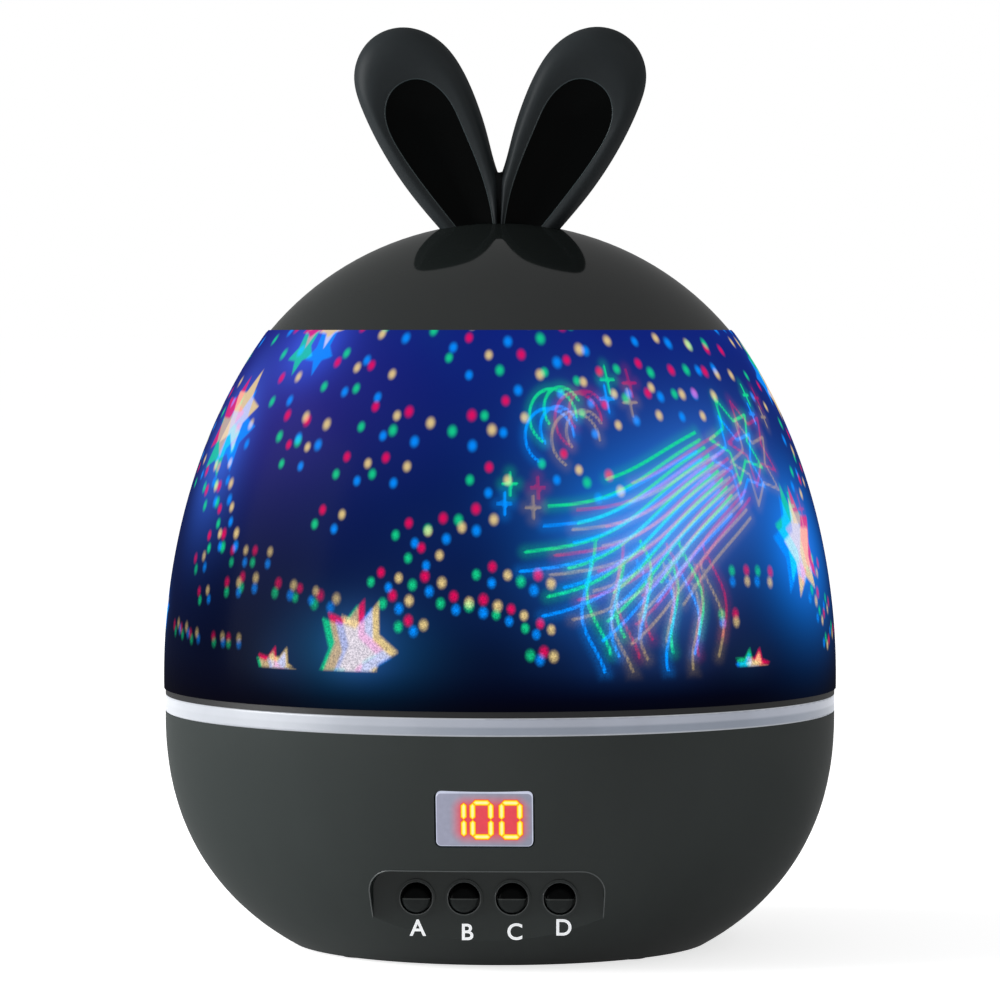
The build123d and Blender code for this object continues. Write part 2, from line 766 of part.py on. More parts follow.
# ------------------------------------------------------------------ boards and display
with BuildPart() as main_board:
    with BuildSketch(Plane.XY.offset(board_z)):
        Circle(board_r)
        with Locations(*deck_boss_places):
            Circle(deck_post_r + slip_gap, mode=Mode.SUBTRACT)
    extrude(amount=board_thick)
save(main_board, "main_board")

with BuildPart() as button_board:
    with BuildSketch(Plane.XZ.offset(-front_board_y)):
        with Locations((0, (front_board_low + board_z) / 2)):
            Rectangle(2 * front_board_half, board_z - front_board_low)
    extrude(amount=-board_thick)
save(button_board, "button_board")

with BuildPart() as switch_bodies:
    with BuildSketch(Plane.XZ.offset(-switch_face)):
        with Locations(*button_places):
            Rectangle(switch_side, switch_side)
    extrude(amount=-switch_deep)
    with BuildSketch(Plane.XZ.offset(-switch_face)):
        with Locations(*button_places):
            Circle(plunger_r + slip_gap)
    extrude(amount=-(plunger_sunk + button_travel + slip_gap), mode=Mode.SUBTRACT)
save(switch_bodies, "switch_bodies")

for letter, x in zip("abcd", button_xs):
    with BuildPart() as button:
        with BuildSketch(Plane.XZ.offset(-panel_back)):
            with Locations((x, button_z)):
                Circle(button_r)
        extrude(amount=panel_wall + button_proud)
        front_edge = button.faces().sort_by(Axis.Y)[0].edges()
        fillet(front_edge, button_dome)
        with BuildSketch(Plane.XZ.offset(-panel_back)):
            with Locations((x, button_z)):
                Circle(button_r + button_lip)
        extrude(amount=-button_flange)
        with BuildSketch(Plane.XZ.offset(-flange_back)):
            with Locations((x, button_z)):
                Circle(button_r / 2)
        extrude(amount=-button_stem)
    save(button, f"button_{letter}")

    with BuildPart() as plunger:
        with BuildSketch(Plane.XZ.offset(-stem_end)):
            with Locations((x, button_z)):
                Circle(plunger_r)
        extrude(amount=-(plunger_proud + plunger_sunk))
    save(plunger, f"plunger_{letter}")

with BuildPart() as display_window:
    with BuildSketch(display_plane.offset(-window_thick)):
        RectangleRounded(window_w, window_h, window_corner)
    extrude(amount=window_thick)
save(display_window, "display_window")

module_back = window_thick + display_deep
with BuildPart() as display_module:
    with BuildSketch(display_plane.offset(-module_back)):
        Rectangle(window_w - 2 * display_margin, window_h - 2 * display_margin)
    extrude(amount=display_deep)
save(display_module, "display_module")

# the display's board leans with the window and stands on the main board
board_top = board_z + board_thick
board_front_z = window_z + (window_sink + module_back) * math.sin(window_tilt)
display_board_drop = (board_front_z - board_top) / math.cos(window_tilt)
display_board_rise = window_h / 2 + tray_wall
with BuildPart() as display_board:
    with BuildSketch(display_plane.offset(-module_back - board_thick)):
        with Locations((0, (display_board_rise - display_board_drop) / 2)):
            Rectangle(display_board_w, display_board_rise + display_board_drop)
    extrude(amount=board_thick)
save(display_board, "display_board")

usb_face = bowl_radius(usb_z) - base_wall / 2
with BuildPart() as usb_socket:
    with BuildSketch(Plane.XZ.offset(-usb_face)):
        with Locations((0, usb_z)):
            RectangleRounded(usb_w, usb_h, usb_h / 4)
    extrude(amount=usb_deep)
    with BuildSketch(Plane.XZ.offset(-usb_face)):
        with Locations((0, usb_z)):
            RectangleRounded(usb_w - 2 * usb_shell, usb_h - 2 * usb_shell, usb_h / 6)
            Rectangle(usb_w - 6 * usb_shell, usb_tongue, mode=Mode.SUBTRACT)
    extrude(amount=usb_cavity, mode=Mode.SUBTRACT)
save(usb_socket, "usb_socket")

# ------------------------------------------------------------------ deck, spindle and lamps
motor_ears = [(motor_x, -motor_ear_at), (motor_x, motor_ear_at)]
with BuildPart() as top_deck:
    with BuildSketch(Plane.XY.offset(deck_z)):
        Circle(rim_r - base_wall - 2 * slip_gap)
        Circle(spindle_bore, mode=Mode.SUBTRACT)
        with Locations(*deck_boss_places, *motor_ears):
            Circle(screw_r + turn_gap, mode=Mode.SUBTRACT)
        with PolarLocations(spindle_screw_at, 3):
            Circle(screw_r + turn_gap, mode=Mode.SUBTRACT)
        with Locations((motor_x, 0)):
            Circle(shaft_r + 2 * slip_gap, mode=Mode.SUBTRACT)
    extrude(amount=deck_thick)
save(top_deck, "top_deck")

with BuildPart() as deck_screws:
    with BuildSketch(Plane.XY.offset(deck_z - screw_bite)):
        with Locations(*deck_boss_places):
            Circle(screw_r)
    extrude(amount=screw_bite + deck_thick)
    with BuildSketch(Plane.XY.offset(deck_top)):
        with Locations(*deck_boss_places):
            Circle(screw_head_r)
    extrude(amount=screw_head)
save(deck_screws, "deck_screws")

with BuildPart() as spindle:
    with BuildSketch(Plane.XY.offset(deck_top)):
        Circle(spindle_flange_r)
    extrude(amount=spindle_flange)
    with BuildSketch(Plane.XY.offset(deck_top)):
        Circle(spindle_r)
    extrude(amount=spindle_height)
    with BuildSketch(Plane.XY.offset(deck_top)):
        Circle(spindle_bore)
    extrude(amount=spindle_height, mode=Mode.SUBTRACT)
    with BuildSketch(Plane.XY.offset(deck_top)):
        with PolarLocations(spindle_screw_at, 3):
            Circle(screw_r)
    extrude(amount=spindle_flange - plate_thick, mode=Mode.SUBTRACT)
save(spindle, "spindle")

with BuildPart() as spindle_screws:
    with BuildSketch(Plane.XY.offset(deck_z - screw_head)):
        with PolarLocations(spindle_screw_at, 3):
            Circle(screw_head_r)
    extrude(amount=screw_head)
    with BuildSketch(Plane.XY.offset(deck_z)):
        with PolarLocations(spindle_screw_at, 3):
            Circle(screw_r)
    extrude(amount=deck_thick + spindle_flange - plate_thick)
save(spindle_screws, "spindle_screws")

with BuildPart() as thrust_washer:
    with BuildSketch(Plane.XY.offset(spindle_base)):
        Circle(washer_r)
        Circle(spindle_r + slip_gap, mode=Mode.SUBTRACT)
    extrude(amount=washer_thick)
save(thrust_washer, "thrust_washer")

with BuildPart() as led_board:
    with BuildSketch(Plane.XY.offset(spindle_top)):
        Circle(led_board_r)
    extrude(amount=board_thick)
save(led_board, "led_board")

led_low = spindle_top + board_thick
for colour, (x, y) in zip(("red", "green", "blue", "warm"), ((0, 1), (-1, 0), (0, -1), (1, 0))):
    with BuildPart() as led:
        with Locations((x * led_at, y * led_at, led_low)):
            Box(led_side, led_side, led_base, align=(Align.CENTER, Align.CENTER, Align.MIN))
            with Locations((0, 0, led_base)):
                Cylinder(led_lens_r, led_lens_r, align=(Align.CENTER, Align.CENTER, Align.MIN))
        fillet(led.faces().sort_by(Axis.Z)[-1].edges(), led_lens_r * 0.9)
    save(led, f"led_{colour}")

with BuildPart() as led_lead:
    with BuildSketch(Plane.XY.offset(board_top)):
        Circle(lead_r)
    extrude(amount=spindle_top - board_top)
save(led_lead, "led_lead")

# ------------------------------------------------------------------ motor and gearbox
with BuildPart() as gearbox:
    with BuildSketch(Plane.XY.offset(gearbox_low)):
        with Locations((motor_x, 0)):
            Circle(gearbox_r)
    extrude(amount=gearbox_height)
    with BuildSketch(Plane.XY.offset(gearbox_top - motor_ear)):
        with Locations(*motor_ears):
            Circle(motor_ear_r)
        with Locations((motor_x, 0)):
            Rectangle(2 * motor_ear_r, 2 * motor_ear_at)
        with Locations(*motor_ears):
            Circle(screw_r, mode=Mode.SUBTRACT)
    extrude(amount=motor_ear)
    with BuildSketch(Plane.XY.offset(gearbox_top - shaft_sunk - slip_gap)):
        with Locations((motor_x, 0)):
            Circle(shaft_r + turn_gap)
    extrude(amount=shaft_sunk + slip_gap, mode=Mode.SUBTRACT)
save(gearbox, "gearbox")

with BuildPart() as motor_can:
    with BuildSketch(Plane.XY.offset(gearbox_low - can_height)):
        with Locations((motor_x, 0)):
            Circle(can_r)
    extrude(amount=can_height)
    fillet(motor_can.edges().group_by(Axis.Z)[0], edge_round)
save(motor_can, "motor_can")

with BuildPart() as motor_screws:
    with BuildSketch(Plane.XY.offset(gearbox_top - motor_ear)):
        with Locations(*motor_ears):
            Circle(screw_r)
    extrude(amount=motor_ear + deck_thick)
    with BuildSketch(Plane.XY.offset(deck_top)):
        with Locations(*motor_ears):
            Circle(screw_head_r)
    extrude(amount=screw_head)
save(motor_screws, "motor_screws")

with BuildPart() as motor_leads:
    with BuildSketch(Plane.XY.offset(board_top)):
        with Locations((motor_x, -can_r / 3), (motor_x, can_r / 3)):
            Circle(wire_r)
    extrude(amount=gearbox_low - can_height - board_top)
save(motor_leads, "motor_leads")

with BuildPart() as battery_leads:
    lead_y = -bay_half + cell_r
    with BuildSketch(Plane.XY.offset(tray_top + tray_wall)):
        with Locations((-cell_pitch, lead_y), (cell_pitch, lead_y)):
            Circle(wire_r)
    extrude(amount=board_z - tray_top - tray_wall)
save(battery_leads, "battery_leads")

with BuildPart() as motor_shaft:
    with BuildSketch(Plane.XY.offset(gearbox_top - shaft_sunk)):
        with Locations((motor_x, 0)):
            Circle(shaft_r)
    extrude(amount=pinion_high - gearbox_top + shaft_sunk)
save(motor_shaft, "motor_shaft")

# a gap between two pinion teeth faces the ring gear's tooth at +X
pinion_turn = 180 + 180 / pinion_teeth
with BuildPart() as motor_pinion:
    with BuildSketch(Plane((motor_x, 0, pinion_low))):
        with BuildLine():
            Polyline(*gear_points(pinion_teeth, pinion_turn), close=True)
        make_face()
        Circle(shaft_r, mode=Mode.SUBTRACT)
    extrude(amount=pinion_high - pinion_low)
save(motor_pinion, "motor_pinion")

# ------------------------------------------------------------------ turntable and film drum
with BuildPart() as turntable:
    with BuildSketch(Plane.XY.offset(gear_low)):
        with BuildLine():
            Polyline(*gear_points(gear_teeth, 0), close=True)
        make_face()
        Circle(gear_r - dedendum * gear_module - gear_rim, mode=Mode.SUBTRACT)
    extrude(amount=gear_width)
    with BuildSketch(Plane.XY.offset(table_low)):
        Circle(holder_r)
    extrude(amount=table_thick)
    with BuildSketch(Plane.XY.offset(hub_low)):
        Circle(hub_r)
    extrude(amount=hub_height)
    with BuildSketch(Plane.XY.offset(hub_low)):
        Circle(hub_bore)
    extrude(amount=hub_height, mode=Mode.SUBTRACT)
    with BuildSketch(Plane.XY.offset(table_top)):
        Circle(holder_foot_in - slip_gap)
        Circle(holder_foot_in - slip_gap - holder_base, mode=Mode.SUBTRACT)
    extrude(amount=holder_base)
save(turntable, "turntable")

with BuildPart() as turntable_bush:
    with BuildSketch(Plane.XY.offset(hub_low)):
        Circle(hub_bore)
        Circle(spindle_r + turn_gap, mode=Mode.SUBTRACT)
    extrude(amount=hub_height)
save(turntable_bush, "turntable_bush")

with BuildPart() as film_holder:
    with BuildSketch(Plane.XY.offset(table_top)):
        Circle(holder_r)
        Circle(holder_foot_in, mode=Mode.SUBTRACT)
    extrude(amount=holder_base)
    with BuildSketch(Plane.XY.offset(table_top)):
        Circle(holder_r)
        Circle(holder_in, mode=Mode.SUBTRACT)
    extrude(amount=holder_height)
    with BuildSketch(Plane.XY.offset(film_low)):
        Circle(film_r + film_thick / 2 + groove_gap)
        Circle(film_r - film_thick / 2 - groove_gap, mode=Mode.SUBTRACT)
    extrude(amount=groove_deep, mode=Mode.SUBTRACT)
save(film_holder, "film_holder")

with BuildPart() as film_sheet:
    with BuildSketch(Plane.XY.offset(film_low)):
        Circle(film_r + film_thick / 2)
        Circle(film_r - film_thick / 2, mode=Mode.SUBTRACT)
    extrude(amount=film_height)
save(film_sheet, "film_sheet")

with BuildPart() as film_dome:
    with BuildSketch(Plane.XZ):
        with Locations((0, dome_centre)):
            Circle(dome_sphere)
            Circle(dome_sphere - dome_wall, mode=Mode.SUBTRACT)
        with Locations((holder_r, dome_seat + dome_rise)):
            Rectangle(2 * holder_r, 2 * dome_rise, mode=Mode.INTERSECT)
    revolve(axis=Axis.Z)
    with BuildSketch(Plane.XY.offset(dome_low)):
        Circle(holder_r)
        Circle(holder_in, mode=Mode.SUBTRACT)
    extrude(amount=dome_rim)
    with BuildSketch(Plane.XY.offset(dome_low)):
        Circle(film_r + film_thick / 2 + groove_gap)
        Circle(film_r - film_thick / 2 - groove_gap, mode=Mode.SUBTRACT)
    extrude(amount=groove_deep, mode=Mode.SUBTRACT)
save(film_dome, "film_dome")
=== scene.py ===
"""Finishes, lit pieces and stage for a rabbit-eared star night light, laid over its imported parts.

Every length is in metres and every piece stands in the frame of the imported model: the front
looks towards -Y and +Z is up. Angles round the body are counted from the front towards +X.
"""

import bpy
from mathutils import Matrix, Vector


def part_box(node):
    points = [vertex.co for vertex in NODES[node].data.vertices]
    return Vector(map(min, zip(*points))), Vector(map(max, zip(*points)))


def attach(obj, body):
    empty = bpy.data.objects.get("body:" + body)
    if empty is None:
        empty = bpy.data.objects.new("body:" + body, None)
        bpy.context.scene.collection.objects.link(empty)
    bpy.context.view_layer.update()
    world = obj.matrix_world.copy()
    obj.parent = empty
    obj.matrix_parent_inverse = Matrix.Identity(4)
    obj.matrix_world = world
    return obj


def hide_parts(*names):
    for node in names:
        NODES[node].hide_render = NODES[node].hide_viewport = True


bl_info = {
    "name": "Star night light projector",
    "version": (1, 0, 0),
    "blender": (4, 5, 0),
    "location": "View3D > Sidebar > Night Light",
    "description": "Dresses the packed parts of a star night light and sets its stage",
    "category": "Object",
}

import math

import bmesh
import bpy
import numpy as np
from bpy.props import (
    FloatProperty,
    FloatVectorProperty,
    IntProperty,
    PointerProperty,
    StringProperty,
)
from mathutils import Matrix, Vector

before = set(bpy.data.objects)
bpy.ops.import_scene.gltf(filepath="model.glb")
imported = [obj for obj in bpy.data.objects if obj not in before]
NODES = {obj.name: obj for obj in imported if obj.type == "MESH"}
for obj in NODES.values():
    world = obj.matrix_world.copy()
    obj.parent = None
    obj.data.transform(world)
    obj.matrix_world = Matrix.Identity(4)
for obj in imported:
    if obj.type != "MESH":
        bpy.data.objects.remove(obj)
MM = 0.001

# ------------------------------------------------------------------ sizes read from the frame
SHADE_LOW, SHADE_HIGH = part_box("projection_shade")
WINDOW_LOW, WINDOW_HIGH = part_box("display_window")
HOUSING_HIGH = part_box("base_housing")[1]
RING_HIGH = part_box("light_ring")[1]
SHADE_WIDEST = SHADE_HIGH.x
SHADE_FOOT = SHADE_LOW.z
SEAM = SHADE_HIGH.z
CAP_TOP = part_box("top_cap")[1].z


def node_points(name):
    """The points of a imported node, one row each."""
    points = np.empty(len(NODES[name].data.vertices) * 3, np.float32)
    NODES[name].data.vertices.foreach_get("co", points)
    return points.reshape(-1, 3).astype(float)


def reach_at_top(name):
    """Largest radius among a node's highest points."""
    points = node_points(name)
    top = points[points[:, 2] > points[:, 2].max() - 0.1 * MM]
    return float(np.hypot(top[:, 0], top[:, 1]).max())


SHADE_TOP_REACH = reach_at_top("projection_shade")


# ------------------------------------------------------------------ settings
def shown(red, green, blue):
    """Linear colour of a colour given as it shows on a screen, from 0 to 255."""
    channels = []
    for value in (red, green, blue):
        c = value / 255
        channels.append(c / 12.92 if c <= 0.04045 else ((c + 0.055) / 1.055) ** 2.4)
    return tuple(channels)


def colour(name, description, red, green, blue):
    return FloatVectorProperty(
        name=name, description=description, default=shown(red, green, blue),
        subtype="COLOR", size=3, min=0.0, max=1.0,
    )


def length(name, description, mm, low=0.0):
    return FloatProperty(
        name=name, description=description, default=mm * MM, min=low * MM,
        subtype="DISTANCE", unit="LENGTH", precision=5,
    )


def share(name, description, value, high=1.0):
    return FloatProperty(
        name=name, description=description, default=value, min=0.0, max=high, subtype="FACTOR",
    )


def angle(name, description, degrees):
    return FloatProperty(
        name=name, description=description, default=math.radians(degrees),
        subtype="ANGLE", unit="ROTATION",
    )


def power(name, description, watts):
    return FloatProperty(name=name, description=description, default=watts, min=0.0, unit="POWER")


class ShellSettings(bpy.types.PropertyGroup):
    """The glossy base and cap."""

    shell: colour("Shell colour", "Colour of the glossy base and cap", 53, 59, 58)
    roughness: share("Shell roughness", "How dull the shell's polish is", 0.07)
    ripple: share("Moulding ripple", "Slow waviness left in the shell by its mould", 0.22)
    # painted highlight: colour of the line round the button pocket and the lips round the buttons
    edge: colour("Edge light", "Colour of the polished line round the button pocket", 64, 70, 70)


class EarSettings(bpy.types.PropertyGroup):
    """The two ears."""

    satin: colour("Ear colour", "Colour of the satin ear shells", 38, 42, 44)
    face: colour("Inner face colour", "Colour of the glossy face in each ear", 3, 4, 4)
    roughness: share("Ear roughness", "How dull the ear shells are", 0.42)
    # painted highlight: the lip's lighter colour stands in for light on the real lip round each face
    lip: colour("Lip colour", "Colour of the polished lip round each inner face", 44, 54, 56)
    hollow: length("Hollow", "Depth of the inner face at its middle", 1.5)


class ShadeSettings(bpy.types.PropertyGroup):
    """The shade and what the lamps throw on it."""

    top: colour("Upper glow", "Glow of the shade just under the cap", 12, 30, 118)
    middle: colour("Middle glow", "Glow of the shade half way up", 3, 24, 82)
    low: colour("Lower glow", "Glow of the shade near the light ring", 3, 8, 34)
    red: colour("Red lamp", "Colour that the front lamp throws", 232, 0, 84)
    green: colour("Green lamp", "Colour that the right lamp throws", 18, 215, 138)
    blue: colour("Blue lamp", "Colour that the back lamp throws", 0, 140, 255)
    warm: colour("Warm lamp", "Colour that the left lamp throws", 232, 204, 134)
    seed: IntProperty(name="Pattern seed", description="Start of the film's scatter", default=11, min=0)
    spacing: length("Dot spacing", "Distance between the film's dots as thrown", 10.1, 2.0)
    dot_width: length("Dot width", "Width of one thrown dot", 1.42)
    dot_height: length("Dot height", "Height of one thrown dot", 1.75)
    cut: length("Pattern's lower edge", "Height at which the film's pattern ends", 54.1)
    belly: length("Widest place", "Height of the widest place above the shade's foot", 2.0)
    wall: length("Wall", "Thickness of the shade", 1.8)


class RingSettings(bpy.types.PropertyGroup):
    """The light ring."""

    glow: colour("Ring glow", "Colour of the lit ring", 176, 182, 198)
    # the edge colour is also painted over the ring's left side as painted key light
    edge: colour("Ring edge", "Colour of the ring's bright edges", 228, 232, 238)
    shadow: colour("Ring shadow", "Colour of the ring's dimmer lower band", 132, 142, 160)


class DisplaySettings(bpy.types.PropertyGroup):
    """The three-digit display."""

    number: StringProperty(name="Number", description="What the display shows", default="100", maxlen=3)
    plate: colour("Plate", "Colour of the display's smoked plate", 150, 152, 172)
    bevel: colour("Bevel", "Colour of the light along the plate's bevel", 200, 205, 225)
    glow: colour("Glow", "Red that the digits spread in the plate", 232, 44, 58)
    core: colour("Digit core", "Colour at the middle of a lit segment", 255, 236, 20)
    rim: colour("Digit rim", "Colour at the edge of a lit segment", 255, 128, 10)
    digit_height: length("Digit height", "Height of a digit", 7.1)
    digit_width: length("Digit width", "Width of a digit", 4.0)
    digit_pitch: length("Digit pitch", "Distance between digits", 5.04)
    segment: length("Segment width", "Width of a lit segment", 0.85)


class ButtonSettings(bpy.types.PropertyGroup):
    """The four buttons and their letters."""

    cap: colour("Button colour", "Colour of the buttons", 40, 44, 44)
    # painted highlight: colour of the bright line across each button's middle
    lip: colour("Button lip", "Colour of the lip across each button", 120, 124, 122)
    print_colour: colour("Letter colour", "Colour of the printed letters", 236, 238, 240)
    letter_height: length("Letter height", "Height of a capital letter", 2.8)
    stroke: length("Letter stroke", "How much the letters' strokes are thickened", 0.06)


class StageSettings(bpy.types.PropertyGroup):
    """Camera, lamps and floor."""

    distance: length("Camera distance", "From the body's middle line to the camera", 882.0)
    height: length("Camera height", "Height of the camera above the table", 113.2)
    azimuth: angle("Camera azimuth", "How far the camera stands round to the right of the front", 2.6)
    pitch: angle("Camera pitch", "How far the camera looks down", 2.044)
    lens: FloatProperty(
        name="Lens", description="Focal length on a 36 mm sensor", default=171.5, min=10.0, unit="CAMERA",
    )
    key: power("Key light", "Power of the large lamp", 33.0)
    fill: power("Fill light", "Power of the side lamp", 0.8)
    ambient: share("Room light", "Light from all round", 0.33, 2.0)
    floor: colour("Floor", "Colour of the table", 238, 238, 238)


class NightLightSettings(bpy.types.PropertyGroup):
    """All settings of the night light."""

    shell: PointerProperty(type=ShellSettings)
    ears: PointerProperty(type=EarSettings)
    shade: PointerProperty(type=ShadeSettings)
    ring: PointerProperty(type=RingSettings)
    display: PointerProperty(type=DisplaySettings)
    buttons: PointerProperty(type=ButtonSettings)
    stage: PointerProperty(type=StageSettings)


def settings():
    return bpy.context.scene.night_light


# ------------------------------------------------------------------ finishes
class Finish:
    """A node material under construction, with short calls for the nodes that it needs."""

    def __init__(self, name):
        self.material = bpy.data.materials.new(name)
        self.material.use_nodes = True
        self.tree = self.material.node_tree
        self.surface = self.tree.nodes["Principled BSDF"]

    def node(self, kind, **fields):
        made = self.tree.nodes.new("ShaderNode" + kind)
        for field, value in fields.items():
            setattr(made, field, value)
        return made

    def feed(self, source, target):
        self.tree.links.new(source, target)

    def put(self, socket, value):
        """Link an output to a socket, or set the socket to a number or colour."""
        if isinstance(value, bpy.types.NodeSocket):
            self.feed(value, socket)
        elif hasattr(value, "__len__"):
            value = tuple(value)
            socket.default_value = value + (1.0,) if len(value) == 3 and socket.type == "RGBA" else value
        else:
            socket.default_value = value

    def set(self, **values):
        """Set the surface's own sockets, named with _ for each space."""
        for name, value in values.items():
            self.put(self.surface.inputs[name.replace("_", " ")], value)

    def place(self):
        """Place on the piece, in metres."""
        return self.node("TexCoord").outputs["Object"]

    def math(self, operation, a, b=0.0, c=0.0):
        made = self.node("Math", operation=operation)
        for socket, value in zip(made.inputs, (a, b, c)):
            self.put(socket, value)
        return made.outputs[0]

    def vector(self, operation, a, b=(0.0, 0.0, 0.0)):
        made = self.node("VectorMath", operation=operation)
        self.put(made.inputs[0], a)
        if operation == "SCALE":
            self.put(made.inputs["Scale"], b)
        elif operation != "LENGTH":
            self.put(made.inputs[1], b)
        return made.outputs["Value" if operation in ("LENGTH", "DOT_PRODUCT") else "Vector"]

    def range(self, value, low, high, to_low=0.0, to_high=1.0, soft=True):
        made = self.node("MapRange", interpolation_type="SMOOTHSTEP" if soft else "LINEAR")
        for socket, given in zip(made.inputs, (value, low, high, to_low, to_high)):
            self.put(socket, given)
        return made.outputs[0]

    def noise(self, scale, detail=3.0, stretch=(1.0, 1.0, 1.0), rough=0.5):
        mapping = self.node("Mapping")
        self.feed(self.place(), mapping.inputs["Vector"])
        mapping.inputs["Scale"].default_value = stretch
        made = self.node("TexNoise")
        self.feed(mapping.outputs[0], made.inputs["Vector"])
        made.inputs["Scale"].default_value = scale
        made.inputs["Detail"].default_value = detail
        made.inputs["Roughness"].default_value = rough
        return made.outputs["Fac"]

    def mix(self, share, a, b):
        """Blend of two colours."""
        made = self.node("Mix", data_type="RGBA")
        factor, first, second, result = 0, 6, 7, 2
        self.put(made.inputs[factor], share)
        self.put(made.inputs[first], a)
        self.put(made.inputs[second], b)
        return made.outputs[result]

    def bump(self, height, strength, depth, normal=None):
        made = self.node("Bump")
        made.inputs["Strength"].default_value = strength
        made.inputs["Distance"].default_value = depth
        self.feed(height, made.inputs["Height"])
        if normal is not None:
            self.feed(normal, made.inputs["Normal"])
        self.feed(made.outputs[0], self.surface.inputs["Normal"])
        return made.outputs[0]

    def glow(self, hue, strength=1.0):
        self.put(self.surface.inputs["Emission Color"], hue)
        self.put(self.surface.inputs["Emission Strength"], strength)


def tinted(hue, factor):
    """A colour made lighter or darker."""
    return tuple(min(1.0, c * factor) for c in hue)


def polished_shell_finish(name, hue, roughness, ripple, shine=0.25):
    """Polished moulded plastic with a faint slow ripple, flow marks and fine dust."""
    f = Finish(name)
    slow = f.noise(38.0, 2.0)
    flow = f.noise(26.0, 3.0, (1.0, 1.0, 0.3))
    f.set(
        Base_Color=f.mix(f.range(flow, 0.35, 0.7), tinted(hue, 0.9), tinted(hue, 1.12)),
        Roughness=f.range(f.noise(900.0, 4.0, rough=0.7), 0.3, 0.8, 0.4, 0.6),
        Specular_IOR_Level=0.0,
        Coat_Weight=shine,
        Coat_IOR=2.2,
        Coat_Roughness=roughness,
    )
    low = f.bump(slow, ripple, 0.25 * MM)
    f.feed(f.bump(f.noise(420.0, 2.0), 0.05, 0.05 * MM, low), f.surface.inputs["Coat Normal"])
    return f.material


def satin_finish(name, hue, roughness, grain=1500.0, shine=0.22):
    """Satin moulded plastic with a fine even grain."""
    f = Finish(name)
    fine = f.noise(grain, 3.0, rough=0.6)
    broad = f.noise(60.0, 2.0)
    f.set(
        Base_Color=f.mix(broad, tinted(hue, 0.8), tinted(hue, 1.25)),
        Roughness=f.range(fine, 0.3, 0.7, 0.5, 0.62),
        Specular_IOR_Level=0.0,
        Coat_Weight=shine,
        Coat_IOR=1.9,
        Coat_Roughness=roughness,
    )
    f.feed(f.bump(fine, 0.14, 0.05 * MM), f.surface.inputs["Coat Normal"])
    return f.material


def textured_plastic_finish(name, hue, roughness=0.55, grain=2200.0, depth=0.3):
    """Spark-textured moulded plastic, a little worn along its broad places."""
    f = Finish(name)
    pits = f.node("TexVoronoi")
    f.feed(f.place(), pits.inputs["Vector"])
    pits.inputs["Scale"].default_value = grain
    wear = f.noise(45.0, 4.0)
    f.set(
        Base_Color=f.mix(f.range(wear, 0.4, 0.75), hue, tinted(hue, 1.7)),
        Roughness=f.range(wear, 0.3, 0.7, roughness * 1.1, roughness * 0.85),
    )
    f.bump(pits.outputs["Distance"], depth, 0.08 * MM)
    return f.material


def board_finish(name, mask, trace):
    """Solder mask over fine copper runs, with a scatter of plated holes."""
    f = Finish(name)
    runs = f.node("TexBrick")
    f.feed(f.place(), runs.inputs["Vector"])
    runs.inputs["Scale"].default_value = 190.0
    runs.inputs["Mortar Size"].default_value = 0.035
    runs.inputs["Color1"].default_value = mask + (1.0,)
    runs.inputs["Color2"].default_value = tinted(mask, 0.85) + (1.0,)
    runs.inputs["Mortar"].default_value = trace + (1.0,)
    holes = f.node("TexVoronoi")
    f.feed(f.place(), holes.inputs["Vector"])
    holes.inputs["Scale"].default_value = 240.0
    plated = f.range(holes.outputs["Distance"], 0.13, 0.1)
    f.set(
        Base_Color=f.mix(plated, runs.outputs["Color"], (0.7, 0.62, 0.4)),
        Roughness=f.range(f.noise(300.0), 0.3, 0.7, 0.3, 0.45),
    )
    f.bump(runs.outputs["Fac"], 0.3, 0.03 * MM)
    return f.material


def lens_finish(name, hue, strength):
    """A lit lamp lens, a little cloudy."""
    f = Finish(name)
    cloud = f.noise(600.0, 2.0)
    f.set(Base_Color=f.mix(cloud, tinted(hue, 0.8), tinted(hue, 1.2)), Roughness=0.12, Coat_Weight=0.6)
    f.glow(f.mix(cloud, tinted(hue, 0.85), tinted(hue, 1.15)), strength)
    return f.material


def steel_finish(name, hue=(0.62, 0.63, 0.65), roughness=0.28, brush=(1.0, 1.0, 14.0)):
    """Plated steel with a fine brushed line."""
    f = Finish(name)
    lines = f.noise(700.0, 3.0, brush)
    f.set(
        Base_Color=f.mix(lines, tinted(hue, 0.82), tinted(hue, 1.08)),
        Metallic=1.0,
        Roughness=f.range(lines, 0.3, 0.7, roughness * 0.8, roughness * 1.3),
    )
    f.bump(lines, 0.12, 0.03 * MM)
    return f.material


def wire_finish(name, first, second):
    """Insulated wires, coloured in turn across the bundle."""
    f = Finish(name)
    parts = f.node("SeparateXYZ")
    f.feed(f.place(), parts.inputs[0])
    turn = f.math("PINGPONG", f.math("MULTIPLY", parts.outputs["X"], 480.0), 1.0)
    f.set(
        Base_Color=f.mix(f.range(turn, 0.45, 0.55), first, second),
        Roughness=f.range(f.noise(800.0), 0.3, 0.7, 0.38, 0.52),
    )
    f.bump(f.noise(1400.0), 0.1, 0.03 * MM)
    return f.material


def clear_finish(name, hue, haze, transmission):
    """Clear moulded plastic with a faint haze."""
    f = Finish(name)
    cloud = f.noise(90.0, 3.0)
    f.set(
        Base_Color=f.mix(cloud, tinted(hue, 0.94), hue),
        Roughness=f.range(cloud, 0.3, 0.7, haze * 0.8, haze * 1.4),
        Transmission_Weight=transmission,
        IOR=1.35,
    )
    f.bump(f.noise(240.0), 0.05, 0.05 * MM)
    return f.material


def rubber_finish(name, hue):
    """Soft matt rubber with a fine open grain."""
    f = Finish(name)
    grain = f.noise(1700.0, 4.0, rough=0.7)
    f.set(Base_Color=f.mix(grain, tinted(hue, 0.7), tinted(hue, 1.5)), Roughness=0.82)
    f.bump(grain, 0.4, 0.08 * MM)
    return f.material


